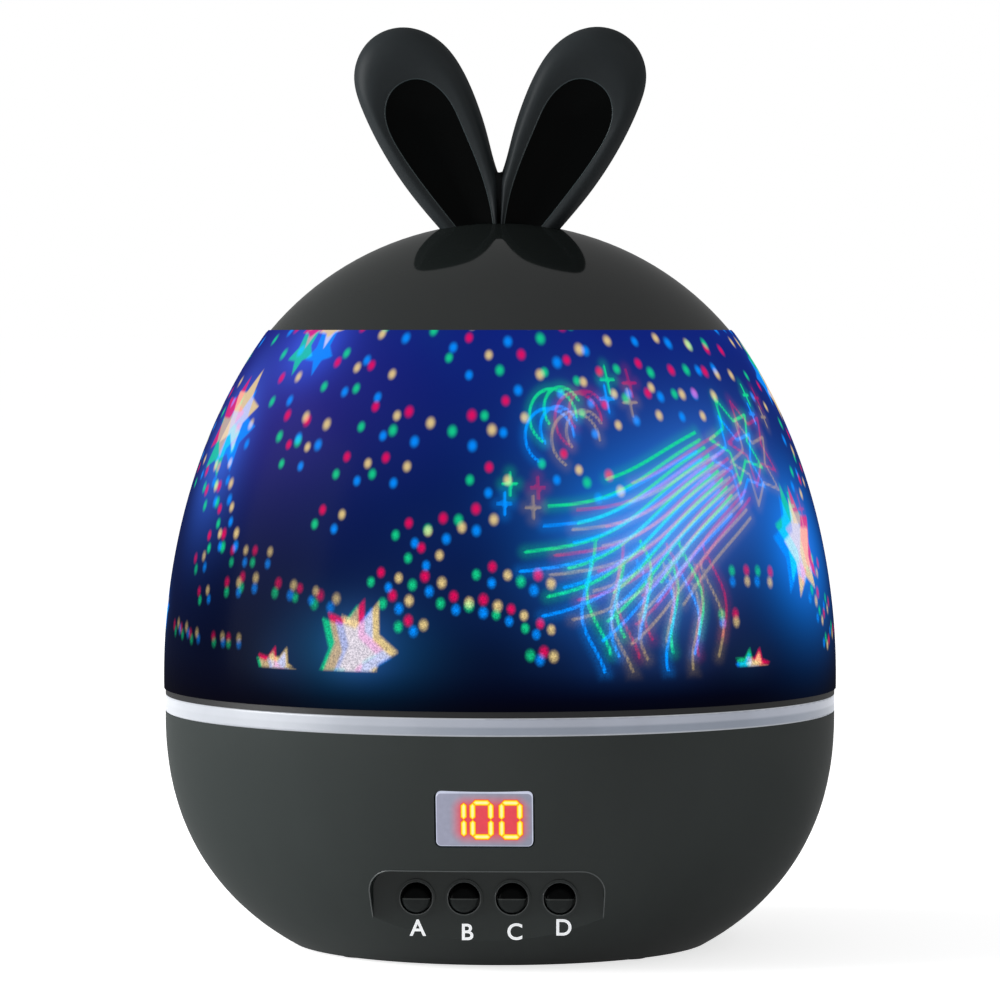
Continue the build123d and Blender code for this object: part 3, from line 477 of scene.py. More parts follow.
def cell_finish():
    """Plain shrink sleeve with a lighter band, and bare metal at both ends."""
    f = Finish("cell_sleeve")
    parts = f.node("SeparateXYZ")
    f.feed(f.place(), parts.inputs[0])
    low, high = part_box("battery_cells")
    along = f.range(parts.outputs["Y"], low.y, high.y, soft=False)
    band = f.math("MULTIPLY", f.range(along, 0.62, 0.64), f.range(along, 0.9, 0.88))
    ends = f.math("MAXIMUM", f.range(along, 0.035, 0.02), f.range(along, 0.965, 0.98))
    sleeve = f.mix(band, (0.012, 0.03, 0.06), (0.5, 0.3, 0.08))
    f.set(
        Base_Color=f.mix(ends, sleeve, (0.6, 0.6, 0.62)),
        Metallic=ends,
        Roughness=f.range(f.noise(500.0), 0.3, 0.7, 0.22, 0.34),
    )
    f.bump(f.noise(800.0), 0.06, 0.03 * MM)
    return f.material


def coat(material, *names):
    """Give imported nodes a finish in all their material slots."""
    for name in names:
        for spot in NODES[name].material_slots:
            spot.material = material


# ------------------------------------------------------------------ meshes
def add_piece(name, points, faces, material, body, slot, stands_for=(), smooth=True, matrix=None):
    """Make a mesh piece, dress it and let it ride on a body."""
    mesh = bpy.data.meshes.new(name)
    mesh.from_pydata([tuple(p) for p in points], [], faces)
    mesh.update()
    mesh.shade_smooth() if smooth else mesh.shade_flat()
    return seat_mesh(name, mesh, material, body, stands_for, matrix)


def seat_mesh(name, mesh, material, body, stands_for=(), matrix=None):
    """Stand a mesh in the scene with its material and let it ride on a body."""
    mesh.materials.append(material)
    piece = bpy.data.objects.new(name, mesh)
    bpy.context.scene.collection.objects.link(piece)
    if matrix is not None:
        piece.matrix_world = matrix
    bpy.context.view_layer.update()
    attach(piece, body)
    if stands_for:
        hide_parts(*stands_for)
    return piece


def tidy_mesh(piece):
    """Join points that fell together and turn every face outwards."""
    work = bmesh.new()
    work.from_mesh(piece.data)
    bmesh.ops.remove_doubles(work, verts=work.verts, dist=0.01 * MM)
    bmesh.ops.recalc_face_normals(work, faces=work.faces)
    work.to_mesh(piece.data)
    work.free()


def smooth_line(points, count):
    """Even points along a natural cubic through the given ones."""
    p = np.array(points, float)
    along = np.concatenate([[0.0], np.cumsum(np.linalg.norm(np.diff(p, axis=0), axis=1))])
    n, h = len(p), np.diff(along)
    a, b = np.zeros((n, n)), np.zeros(p.shape)
    a[0, 0] = a[-1, -1] = 1.0
    for i in range(1, n - 1):
        a[i, i - 1 : i + 2] = h[i - 1], 2 * (h[i - 1] + h[i]), h[i]
        b[i] = 6 * ((p[i + 1] - p[i]) / h[i] - (p[i] - p[i - 1]) / h[i - 1])
    m = np.linalg.solve(a, b)
    at = np.linspace(0.0, along[-1], count)
    k = np.clip(np.searchsorted(along, at, side="right") - 1, 0, n - 2)
    after, before, step = (at - along[k])[:, None], (along[k + 1] - at)[:, None], h[k][:, None]
    return (
        (m[k] * before**3 + m[k + 1] * after**3) / (6 * step)
        + (p[k] / step - m[k] * step / 6) * before
        + (p[k + 1] / step - m[k + 1] * step / 6) * after
    )


def even_line(points, count):
    """Evenly spaced points along straight runs."""
    p = np.array(points, float)
    along = np.concatenate([[0.0], np.cumsum(np.linalg.norm(np.diff(p, axis=0), axis=1))])
    at = np.linspace(0.0, along[-1], count)
    return np.stack([np.interp(at, along, p[:, i]) for i in range(p.shape[1])], axis=1)


def ring_faces(rings, count, closed=True):
    """Quads between rings of equal point counts, stored one after another."""
    faces = []
    for r in range(rings - 1):
        for i in range(count if closed else count - 1):
            j = (i + 1) % count
            faces.append((r * count + i, r * count + j, (r + 1) * count + j, (r + 1) * count + i))
    return faces


# ------------------------------------------------------------------ ears
# outline of the right ear from its notch over its tip to its root, across and up from the cap's top, mm
EAR_OUTLINE = [
    (0.15, 8.6), (0.9, 10.8), (2.4, 16.5), (4.3, 22.4), (6.9, 28.2), (10.7, 33.2),
    (18.0, 36.1), (23.9, 33.9), (27.0, 27.5), (25.5, 20.9), (21.9, 13.5), (17.1, 6.1), (10.2, -2.2),
]
FACE_OUTLINE = [
    (0.9, -2.0), (1.7, 3.2), (4.2, 11.3), (7.0, 18.0), (9.5, 22.8),
    (14.8, 26.2), (19.6, 24.0), (20.8, 19.8), (18.6, 13.8), (15.4, 9.0), (11.7, 4.1), (7.2, -1.6),
]
EAR_ROOT = -4.5       # height of the ear's lowest points, hidden in the cap, mm
EAR_SUNK = -1.2       # height down to which the lip and the web reach, mm
EAR_POINTS = 144      # points round an ear
EAR_HALF_DEPTH = 5.5  # half of the ear's thickness, mm
EAR_SOFTNESS = 2.3    # how square its rounded sides are
EAR_STEPS = (0.02, 0.06, 0.12, 0.2, 0.3, 0.42, 0.55, 0.68, 0.8, 0.9, 1.0)
RIM_WIDTH = 0.3       # bevel between the ear's front and the recess, mm
RECESS = 1.9          # depth of the recess at its edge, mm
# web between the ears: depth and drop of each ring, and its share of the width
WEB_RINGS = [
    (-4.3, 1.3, 0.6), (-3.9, 0.6, 1.0), (-3.2, 0.1, 1.2), (3.2, 0.1, 1.2), (3.9, 0.6, 1.0), (4.3, 1.3, 0.6),
]
WEB_TOP = 9.3         # height of the notch's floor, mm
CAP_BULGE = (reach_at_top("projection_shade") / MM - 0.5, (CAP_TOP - SEAM) / MM)
CAP_SPHERE = (CAP_BULGE[0] ** 2 + CAP_BULGE[1] ** 2) / (2 * CAP_BULGE[1])


def halves(line):
    """Even points from root to tip and back, with the tip at the same place in every outline."""
    tip = int(np.argmax(line[:, 1]))
    up, down = even_line(line[: tip + 1], EAR_POINTS // 2 + 1), even_line(line[tip:], EAR_POINTS // 2)
    return np.vstack([up[:-1], down])


def ear_lines():
    """Outline and face outline of the right ear as even points, both open at the root."""
    lines = []
    for outline, near, far in ((EAR_OUTLINE, 0.15, 6.8), (FACE_OUTLINE, 0.9, 4.8)):
        lines.append(halves(np.vstack([[(near, EAR_ROOT)], smooth_line(outline, 240), [(far, EAR_ROOT)]])))
    return lines


def middle_line(line, stop):
    """For each point, the point half way to its partner on the other side, held short of the tip."""
    last = len(line) - 1
    half = int(last / 2 * stop)
    ends = np.minimum(np.minimum(np.arange(last + 1), last - np.arange(last + 1)), half)
    return (line[ends] + line[last - ends]) / 2


def ear_solid(rings, hand):
    """Points in metres from rings of (x, y, z) in mm over the cap's top, trimmed to the cap's roof."""
    points = np.concatenate(rings)
    roof = np.sqrt(np.maximum(CAP_SPHERE**2 - points[:, 0] ** 2 - points[:, 1] ** 2, 0)) - CAP_SPHERE
    points[:, 2] = np.maximum(points[:, 2], roof + EAR_SUNK)
    points[:, 0] *= hand
    return points * MM + np.array((0, 0, CAP_TOP))


def flat_ring(start, end, share, depth):
    """Ring of points a share of the way from one outline to another, at a depth, in mm."""
    flat = start + (end - start) * share
    return np.stack([flat[:, 0], np.full(len(flat), depth), flat[:, 1]], axis=1)


def puff(share, full_at):
    """Depth of the ear's rounded side at a share of the way in, in mm."""
    left = 1 - min(1.0, share / full_at)
    return EAR_HALF_DEPTH * (1 - left**EAR_SOFTNESS) ** (1 / EAR_SOFTNESS)


def ear_rings(s):
    """Rings of the right ear's shell, rings of its hollow face, and the ring along its lip."""
    whole, inner = ear_lines()
    spine, face_spine = middle_line(whole, 0.74), middle_line(inner, 0.7)
    away = inner - face_spine
    rim = inner + away / np.maximum(np.linalg.norm(away, axis=1)[:, None], 1e-6) * RIM_WIDTH
    full_at, dip, front_depth = 0.72, 0.35, -EAR_HALF_DEPTH
    back = [flat_ring(whole, spine, f, puff(f, 0.5)) for f in EAR_STEPS]
    front = [
        flat_ring(whole, rim, f, -puff(f, full_at) + dip * max(0.0, f - full_at) / (1 - full_at))
        for f in EAR_STEPS
    ]
    recess = [
        flat_ring(start, end, share, front_depth + sink)
        for start, end, share, sink in (
            (rim, inner, 0.5, 0.42), (rim, inner, 1.0, 0.62), (inner, inner, 0.0, RECESS),
            (inner, face_spine, 0.5, RECESS + 0.05), (inner, face_spine, 1.0, RECESS + 0.1),
        )
    ]
    shell = back[::-1] + [flat_ring(whole, whole, 0.0, 0.0)] + front + recess
    hollow, edge, bow, steps = [], 0.7, 1.3, 12
    for step in range(steps + 1):
        f = step / steps
        sink = edge + (s.hollow / MM - 0.4) * math.sin(f * bow) / math.sin(bow)
        hollow.append(flat_ring(inner, face_spine, f, front_depth + min(sink, RECESS - 0.02)))
    return shell, hollow, flat_ring(inner, rim, 0.5, front_depth + 0.5)


def make_ears(s):
    """Puffed ear shells with soft edges, and the hollow glossy face and the polished lip in each, the lip
    lighter in colour as a painted highlight.
    """
    shell_finish = satin_finish("ear_satin_shell", s.satin, s.roughness, shine=0.07)
    face_finish = polished_shell_finish("ear_gloss_face", s.face, 0.2, 0.1, 0.012)
    # painted highlight: the real lip is given a finish lighter than the ear shell
    lip_finish = polished_shell_finish("ear_polished_lip", s.lip, 0.25, 0.05, 0.12)
    shell, hollow, lip = ear_rings(s)
    for hand, side in ((1, "right"), (-1, "left")):
        for name, rings, finish, slot, node in (
            (f"ear_shell_{side}", shell, shell_finish, "ear_satin", f"ear_{side}"),
            (f"ear_face_{side}", hollow, face_finish, "ear_face", f"ear_inlay_{side}"),
        ):
            piece = add_piece(
                name, ear_solid(rings, hand), ring_faces(len(rings), EAR_POINTS),
                finish, "cover", slot, (node,),
            )
            tidy_mesh(piece)
            piece.data.shade_smooth()
        line = lip[1:-1] * (hand, 1, 1)
        line = line[line[:, 2] > EAR_SUNK] + (0, 0, CAP_TOP / MM)
        tidy_mesh(add_piece(f"ear_lip_{side}", *tube(line, 0.15), lip_finish, "cover", "ear_satin"))
    make_notch_web(s)


def make_notch_web(s):
    """Web that joins the ears under the rounded notch between them, darkened to a quarter of the ear colour
    as painted shade in the notch.
    """
    finish = satin_finish("ear_notch_shadow", tinted(s.satin, 0.25), s.roughness, shine=0.03)
    half, shoulder, rise, dip = 1.2, 0.75, 0.75, 0.25
    points = []
    for y, drop, wide in WEB_RINGS:
        top = WEB_TOP - drop
        outline = (
            (-half, top + rise), (-shoulder, top + dip), (0.0, top), (shoulder, top + dip),
            (half, top + rise), (half, EAR_SUNK), (-half, EAR_SUNK),
        )
        points += [(x * wide, y, z) for x, z in outline]
    count, total = len(outline), len(points)
    faces = ring_faces(len(WEB_RINGS), count)
    faces += [tuple(range(count)), tuple(reversed(range(total - count, total)))]
    points = np.array(points) * MM + np.array((0, 0, CAP_TOP))
    tidy_mesh(add_piece("ear_notch_web", points, faces, finish, "cover", "ear_satin"))


# ------------------------------------------------------------------ shade
SHADE_ROUND, SHADE_UP, SHADE_INSIDE = 720, 126, 5
LAMPS = {"red": 0.0, "green": 90.0, "blue": 180.0, "warm": -90.0}
DOT_REACH = 1.85   # a dot's field ends at this many of its own radii
DOTS_APART = 4.35  # least distance between two holes of the film as thrown, mm
NOTHING = 9.0      # value of a field where nothing is near


def thrown(azimuth, height, lamp):
    """Where a lamp throws a hole of the film: azimuth in degrees and height in mm."""
    across = 2.1 + (height - 59.0) * 0.05
    up = 0.8 + (height - 59.0) * 0.05
    turn = np.radians(LAMPS[lamp] - azimuth)
    return azimuth - np.degrees(across * np.sin(turn) / 60.0), height + up * np.cos(turn)


def star_shape(u, v, size, turn, inner=0.5):
    """Signed distance to a five-pointed star, negative inside."""
    a = np.arctan2(u, v) - turn
    fifth = 2 * math.pi / 5
    a = np.abs((a + fifth / 2) % fifth - fifth / 2)
    r = np.hypot(u, v)
    x, y = r * np.sin(a), r * np.cos(a)
    ax, ay = 0.0, size
    bx, by = size * inner * math.sin(fifth / 2), size * inner * math.cos(fifth / 2)
    ex, ey = bx - ax, by - ay
    t = np.clip(((x - ax) * ex + (y - ay) * ey) / (ex * ex + ey * ey), 0, 1)
    d = np.hypot(x - ax - ex * t, y - ay - ey * t)
    side = (x - ax) * ey - (y - ay) * ex
    return np.where(side > 0, -d, d)


# solid stars of the film: azimuth, height, size in mm, height over width, and turn
FILM_STARS = [
    (-64.0, 96.0, 7.4, 1.05, 10), (-45.0, 112.0, 4.4, 1.0, 32), (-21.5, 57.8, 5.9, 1.45, 22),
    (-37.0, 53.4, 3.4, 1.2, 20), (48.5, 53.6, 3.2, 1.0, 10), (66.5, 75.0, 6.4, 1.45, -6),
    (-84.0, 62.0, 4.2, 1.0, 8), (86.0, 104.0, 4.8, 1.0, -10),
]
# rows of dots on the film: azimuth and height at both ends, bow in mm, number and strength
DOT_ROWS = [
    (-69, 90, -57, 75.5, 0.6, 5, 1.0), (-63, 90.5, -52, 76, 0.6, 5, 1.0), (-61, 71.3, -42, 73, 0.8, 4, 0.6),
    (-58, 66, -27, 66, 2.4, 8, 0.55), (-69, 59.5, -47, 58.5, -0.8, 6, 0.35), (-17, 70, -12, 62, 0.0, 3, 1.0),
    (-10, 74.0, -9, 64.8, 0.0, 3, 1.0), (-5, 66, 9, 61.5, 1.2, 4, 1.0), (9.5, 57.2, 9.6, 57.0, 0.0, 1, 0.9),
    (36, 61.8, 44, 62.6, 0.0, 2, 0.7), (40, 70.5, 53, 69.4, 0.0, 3, 0.7), (68, 68.5, 76, 57, 1.0, 4, 0.8),
    (73, 70.5, 81, 58.5, 1.0, 4, 0.7),
]
PICTURE_AT = (56.0, 91.5)  # azimuth and height of the shooting star's head


def star_line(size, turn, inner=0.46):
    """Closed outline of a five-pointed star."""
    points = []
    for i in range(11):
        reach = size if i % 2 == 0 else size * inner
        a = turn + i * math.pi / 5
        points.append((reach * math.sin(a), reach * math.cos(a)))
    return np.array(points)


def arc_line(x, y, wide, tall, start, end, turn=0.0, count=22):
    """Part of an ellipse as a line."""
    a = np.radians(np.linspace(start, end, count))
    u, v = wide * np.sin(a), tall * np.cos(a)
    c, t = math.cos(math.radians(turn)), math.sin(math.radians(turn))
    return np.stack([x + u * c - v * t, y + u * t + v * c], axis=1)


def picture_lines():
    """Line drawing of a shooting star with a flowing tail, a moon and sparks, in mm from the star's head."""
    lines = [star_line(8.0, -0.28)]
    along = np.linspace(0, 1, 18)
    for i in range(9):
        k = (i - 4) / 4
        reach = 50 - 14 * abs(k) ** 1.4 + (4.5 if i % 2 else -3.0)
        run = 9.5 + (reach - 9.5) * along
        side = k * (6.0 + 8.6 * ((run - 9.0) / 42) ** 1.1) + 2.4 * np.sin(run / 8.0 + k * 0.9) * run / 50
        lines.append(np.stack([-0.9 * run - 0.44 * side, -0.44 * run + 0.9 * side], axis=1))
    for i in range(5):
        down = np.linspace(-17.0 - 3.5 * (i % 2), -36.5 + 3.0 * (i % 3), 18)
        across = -40.0 + 4.8 * i + 1.5 * np.sin(down / 3.4 + 0.8 * i) - 0.1 * down
        lines.append(np.stack([across, down], axis=1))
    lines += [arc_line(-43, 4.5, 4.9, 4.9, -150, 90), arc_line(-40.9, 5.8, 3.9, 3.9, -128, 66)]
    for x, y, size in ((-30, 11, 1.6), (14, -12, 1.6), (-52, -7, 1.3), (11, 8, 1.2)):
        tall = 1.5 * size
        lines += [np.array([(x - size, y), (x + size, y)]), np.array([(x, y - tall), (x, y + tall)])]
    return lines


def from_lines(u, v, lines, limit=9.0):
    """Distance in mm to the nearest of some lines."""
    best = np.full(u.shape, limit)
    for line in lines:
        low, high = line.min(0) - 4.0, line.max(0) + 4.0
        near = (u > low[0]) & (u < high[0]) & (v > low[1]) & (v < high[1])
        x, y, found = u[near], v[near], best[near]
        for (ax, ay), (bx, by) in zip(line[:-1], line[1:]):
            ex, ey = bx - ax, by - ay
            t = np.clip(((x - ax) * ex + (y - ay) * ey) / max(ex * ex + ey * ey, 1e-9), 0, 1)
            found = np.minimum(found, np.hypot(x - ax - ex * t, y - ay - ey * t))
        best[near] = found
    return best


def on_film(azimuth, height, at, up):
    """Place on the film's picture, in mm from a spot of it."""
    return ((azimuth - at + 180) % 360 - 180) * math.radians(60.0), height - up


def star_field(azimuth, height, lamp):
    """Signed distance in mm to the solid stars, as one lamp throws them or, with none, as printed."""
    field = np.full(azimuth.shape, NOTHING)
    for a, z, size, tall, turn in FILM_STARS:
        for side in (0, 180):
            at, up = thrown(a + side, z, lamp) if lamp else (a + side, z)
            u, v = on_film(azimuth, height, at, up)
            near = (np.abs(u) < 17) & (np.abs(v) < 17)
            shape = star_shape(u[near], v[near] / tall, size, math.radians(turn))
            field[near] = np.minimum(field[near], shape)
    return field


def picture_field(azimuth, height, lamp):
    """Distance in mm to the lines of the film's picture."""
    field = np.full(azimuth.shape, NOTHING)
    lines = picture_lines()
    for side in (0, 180):
        a, z = PICTURE_AT[0] + side, PICTURE_AT[1]
        at, up = thrown(a, z, lamp) if lamp else (a, z)
        u, v = on_film(azimuth, height, at, up)
        near = (np.abs(u) < 62) & (np.abs(v) < 46)
        field[near] = np.minimum(field[near], from_lines(u[near], v[near], lines))
    return field


def film_holes(s):
    """Holes of the film: azimuth, height, size and strength, scattered high up and in rows lower down."""
    rng = np.random.default_rng(s.seed)
    step = s.spacing / MM
    holes = []
    for a0, z0, a1, z1, bow, n, strength in DOT_ROWS:
        for side in (0, 180):
            for t in np.linspace(0, 1, n):
                a, z = a0 + (a1 - a0) * t, z0 + (z1 - z0) * t + bow * math.sin(t * math.pi)
                at, up = a + side + rng.normal(0, 0.25), z + rng.normal(0, 0.15)
                holes.append((at, up, rng.uniform(0.92, 1.08), strength))
    for row, height in enumerate(np.arange(71.0, 117.0, step * 0.84)):
        count = int(round(2 * math.pi * 56 / step))
        for i in range(count):
            a = (i + 0.5 * (row % 2)) * 360.0 / count + rng.normal(0, 2.8)
            z = height + rng.normal(0, 2.0)
            front = (a + 90) % 180 - 90
            if z > 85 or -36 < front < 12 or (z > 74 and front > 12 and rng.uniform() < 0.5):
                holes.append((a, z, rng.uniform(0.88, 1.1), 1.0))
    spots = np.array([h[:2] for h in holes])
    off_stars = star_field(spots[:, 0], spots[:, 1], None) > 1.6
    off_picture = picture_field(spots[:, 0], spots[:, 1], None) > 2.2
    kept = []
    for (a, z, size, strength), clear in zip(holes, off_stars & off_picture):
        a = (a + 180) % 360 - 180
        wide = math.radians(SHADE_WIDEST / MM) * math.sqrt(1 - ((z - 49.3) / 88.0) ** 2)
        near = any(
            math.hypot(((a - b + 180) % 360 - 180) * wide, z - y) < DOTS_APART for b, y, *_ in kept
        )
        if clear and not near and z > s.cut / MM + 0.6:
            kept.append((a, z, size, strength))
    return kept


def spread(field, cells_round, cells_up):
    """Soften a grid of values, joined round the body and held at its upper and lower edge."""
    out = field.copy()
    for cells, axis in ((cells_round, 1), (cells_up, 0)):
        reach = int(cells * 2.5)
        weights = np.exp(-0.5 * (np.arange(-reach, reach + 1) / cells) ** 2)
        weights /= weights.sum()
        pad = [(reach, reach) if axis == i else (0, 0) for i in range(2)]
        wide = np.pad(out, pad, mode="wrap" if axis == 1 else "edge")
        total = np.zeros_like(out)
        for k, w in enumerate(weights):
            total += w * (wide[:, k : k + out.shape[1]] if axis == 1 else wide[k : k + out.shape[0], :])
        out = total
    return out


def make_shade(s):
    """The shade as a dense turned shell, which carries what each lamp throws on it."""
    foot, seam, cut = SHADE_FOOT / MM, SEAM / MM, s.cut / MM
    belly = foot + s.belly / MM
    widest = SHADE_WIDEST / MM
    semi = (seam - belly) / math.sqrt(1 - (SHADE_TOP_REACH / SHADE_WIDEST) ** 2)
    wall = s.wall / MM
    # heights evenly spaced along the curve
    z = np.linspace(foot, seam, 900)
    r = widest * np.sqrt(1 - ((z - belly) / semi) ** 2)
    along = np.concatenate([[0.0], np.cumsum(np.hypot(np.diff(z), np.diff(r)))])
    heights = np.interp(np.linspace(0, along[-1], SHADE_UP + 1), along, z)
    radii = widest * np.sqrt(1 - ((heights - belly) / semi) ** 2)
    radii[-1] -= 0.12  # a soft edge that stays under the cap's
    turns = np.linspace(-180.0, 180.0, SHADE_ROUND, endpoint=False)
    azimuth, height = np.meshgrid(turns, heights)
    radius = np.repeat(radii[:, None], SHADE_ROUND, axis=1)
    inner_z = np.linspace(seam, foot, SHADE_INSIDE + 1)
    inner_r = (widest - wall) * np.sqrt(1 - ((inner_z - belly) / (semi - wall)) ** 2)
    all_r = np.concatenate([radii, inner_r])
    all_z = np.concatenate([heights, inner_z])
    a = np.radians(turns)
    points = np.stack(
        [
            np.outer(all_r, np.sin(a)), -np.outer(all_r, np.cos(a)),
            np.repeat(all_z[:, None], SHADE_ROUND, 1),
        ],
        axis=2,
    ).reshape(-1, 3) * MM
    rows = len(all_r)
    faces = ring_faces(rows, SHADE_ROUND)
    last = (rows - 1) * SHADE_ROUND
    for i in range(SHADE_ROUND):
        j = (i + 1) % SHADE_ROUND
        faces.append((last + i, last + j, j, i))
    piece = add_piece(
        "lit_shade", points, faces, shade_finish(s), "cover", "shade_frost", ("projection_shade",),
    )
    mesh = piece.data
    rim = {SHADE_UP, rows - 1, 0}
    sharp = np.zeros(len(mesh.edges), bool)
    ends = np.empty(len(mesh.edges) * 2, np.int32)
    mesh.edges.foreach_get("vertices", ends)
    ends = ends.reshape(-1, 2) // SHADE_ROUND
    for row in rim | {SHADE_UP + 1}:
        sharp |= (ends == row).all(axis=1)
    mesh.attributes.new("sharp_edge", "BOOLEAN", "EDGE").data.foreach_set("value", sharp)

    count = len(points)
    holes = film_holes(s)
    light = np.zeros(azimuth.shape + (3,))
    for lamp in LAMPS:
        stars = np.maximum(star_field(azimuth, height, lamp), cut - height)
        lines = np.maximum(picture_field(azimuth, height, lamp), cut - height)
        dots = dot_field(s, azimuth, height, radius, heights, holes, lamp)
        reach = np.hypot(dots[..., 0], dots[..., 1])
        lit = np.maximum(np.clip(1.3 - reach, 0, 1) * dots[..., 2], np.clip(0.5 - stars, 0, 1))
        lit = np.maximum(lit, np.clip(1.2 - lines, 0, 1))
        glow = spread(lit, 6, 6) * 0.5 + spread(lit, 18, 18) * 0.5
        light += glow[..., None] * np.array(LAMP_SPREAD[lamp])
        store_grid(mesh, f"dots_{lamp}", "FLOAT_VECTOR", dots, count)
        store_grid(mesh, f"stars_{lamp}", "FLOAT", stars, count)
        store_grid(mesh, f"lines_{lamp}", "FLOAT", lines, count)
    fade = np.clip((height - cut + 5.0) / 5.0, 0.0, 1.0)[..., None]
    ground = shade_ground(s, azimuth, height) + light * fade
    ground = np.concatenate([ground, np.ones(azimuth.shape + (1,))], 2)
    store_grid(mesh, "ground", "FLOAT_COLOR", ground, count)
    wrap_map(mesh, rows)


def dot_field(s, azimuth, height, radius, heights, holes, lamp):
    """Vector to the nearest dot in its own radii, and the dot's strength, over the shade's outside."""
    dots = np.zeros(azimuth.shape + (3,))
    dots[..., :2] = NOTHING
    best = np.full(azimuth.shape, 4.0)
    for a, z, size, strength in holes:
        at, up = thrown(a, z, lamp)
        half_w, half_h = s.dot_width / MM / 2 * size, s.dot_height / MM / 2 * size
        row = int(np.searchsorted(heights, up))
        low, high = max(0, row - 8), min(len(heights), row + 8)
        if low >= high:
            continue
        u = ((azimuth[low:high] - at + 180) % 360 - 180) * math.radians(1.0) * radius[low:high] / half_w
        v = (height[low:high] - up) / half_h
        reach = np.hypot(u, v)
        near = reach < best[low:high]
        values = np.stack([u, v, np.where(reach > DOT_REACH, 0.0, strength)], axis=2)
        dots[low:high][near] = values[near]
        best[low:high][near] = reach[near]
    return dots


# colour that each lamp's dots and lines spread around them in the shade's wall
LAMP_SPREAD = {
    "red": (0.035, 0.0, 0.02), "green": (0.0, 0.08, 0.06),
    "blue": (0.0, 0.06, 0.42), "warm": (0.015, 0.015, 0.01),
}
# strength of each lamp in the dots, in the solid stars and in the picture's lines
LAMP_STRENGTH = {
    "red": (0.85, 0.8, 0.42), "green": (0.8, 0.7, 1.0), "blue": (0.9, 0.85, 1.1), "warm": (0.85, 0.9, 0.34),
}
CROWDING = 0.42  # how much lamps that fall on one spot dim each other
# soft light round the film's brightest places: azimuth, height, reach round and up, colour
HALOS = [
    (26, 79, 14, 13, (0.0, 0.09, 0.4)), (44, 88, 14, 12, (0.01, 0.07, 0.3)),
    (68, 74, 13, 13, (0.0, 0.17, 0.7)), (-64, 92, 9, 14, (0.02, 0.08, 0.42)),
    (-46, 111, 10, 7, (0.02, 0.06, 0.45)), (-21.5, 58, 12, 7, (0.0, 0.04, 0.1)),
]


def shade_ground(s, azimuth, height):
    """The shade's own glow by height, with a purple tint high on each left shoulder."""
    stops = np.array([47.0, 50.0, 57.0, 84.0, 112.0])
    black, low, middle, top = np.array(shown(2, 2, 8)), np.array(s.low), np.array(s.middle), np.array(s.top)
    levels = np.stack([black, low * 0.45, low, middle, top])
    ground = np.stack([np.interp(height, stops, levels[:, i]) for i in range(3)], axis=2)
    front = (azimuth + 90) % 180 - 90
    purple = np.exp(-((front + 52) / 26) ** 2 - ((height - 100) / 17) ** 2)
    shadow = 1 - 0.5 * np.exp(-((front + 52) / 26) ** 2 - ((height - 66) / 13) ** 2)
    ground = ground * shadow[..., None] + purple[..., None] * np.array((0.022, 0.004, 0.06))
    for at, up, wide, tall, hue in HALOS:
        around = (azimuth - at + 90) % 180 - 90
        halo = np.exp(-((around / wide) ** 2) - ((height - up) / tall) ** 2)
        ground += halo[..., None] * np.array(hue)
    return ground


def store_grid(mesh, name, kind, grid, count):
    """Write a field of the shade's outside to its points, with nothing on the inside."""
    width = 1 if grid.ndim == 2 else grid.shape[2]
    flat = np.zeros((count, width), np.float32)
    outside = grid.reshape(-1, width)
    flat[: len(outside)] = outside
    if kind != "FLOAT_COLOR":
        flat[len(outside) :] = NOTHING
        if width == 3:
            flat[len(outside) :, 2] = 0.0
    else:
        flat[len(outside) :] = (0.004, 0.005, 0.03, 1.0)
    layer = mesh.attributes.new(name, kind, "POINT")
    field = {"FLOAT": "value", "FLOAT_VECTOR": "vector", "FLOAT_COLOR": "color"}[kind]
    layer.data.foreach_set(field, flat.ravel())


def wrap_map(mesh, rows):
    """Unroll the shade: its outside over most of the map, its inside in a strip below."""
    loops = np.empty(len(mesh.loops), np.int32)
    mesh.loops.foreach_get("vertex_index", loops)
    column, row = (loops % SHADE_ROUND).reshape(-1, 4), (loops // SHADE_ROUND).reshape(-1, 4)
    across = column / SHADE_ROUND
    seam_face = (column.max(axis=1) - column.min(axis=1)) > SHADE_ROUND / 2
    across[seam_face] = np.where(column[seam_face] == 0, 1.0, across[seam_face])
    outside = (row.max(axis=1) <= SHADE_UP) & (row.max(axis=1) - row.min(axis=1) <= 1)
    up = np.where(outside[:, None], 0.12 + 0.88 * row / SHADE_UP, 0.0)
    rest = np.where(row > SHADE_UP, row - SHADE_UP - 1, 0) / (rows - SHADE_UP)
    closing = (row.max(axis=1) - row.min(axis=1)) > 1
    rest = np.where(closing[:, None] & (row == 0), 1.0, rest)
    up = np.where(outside[:, None], up, 0.1 * rest)
    layer = mesh.uv_layers.new(name="OFBake")
    layer.data.foreach_set("uv", np.stack([across.ravel(), up.ravel()], axis=1).astype(np.float32).ravel())


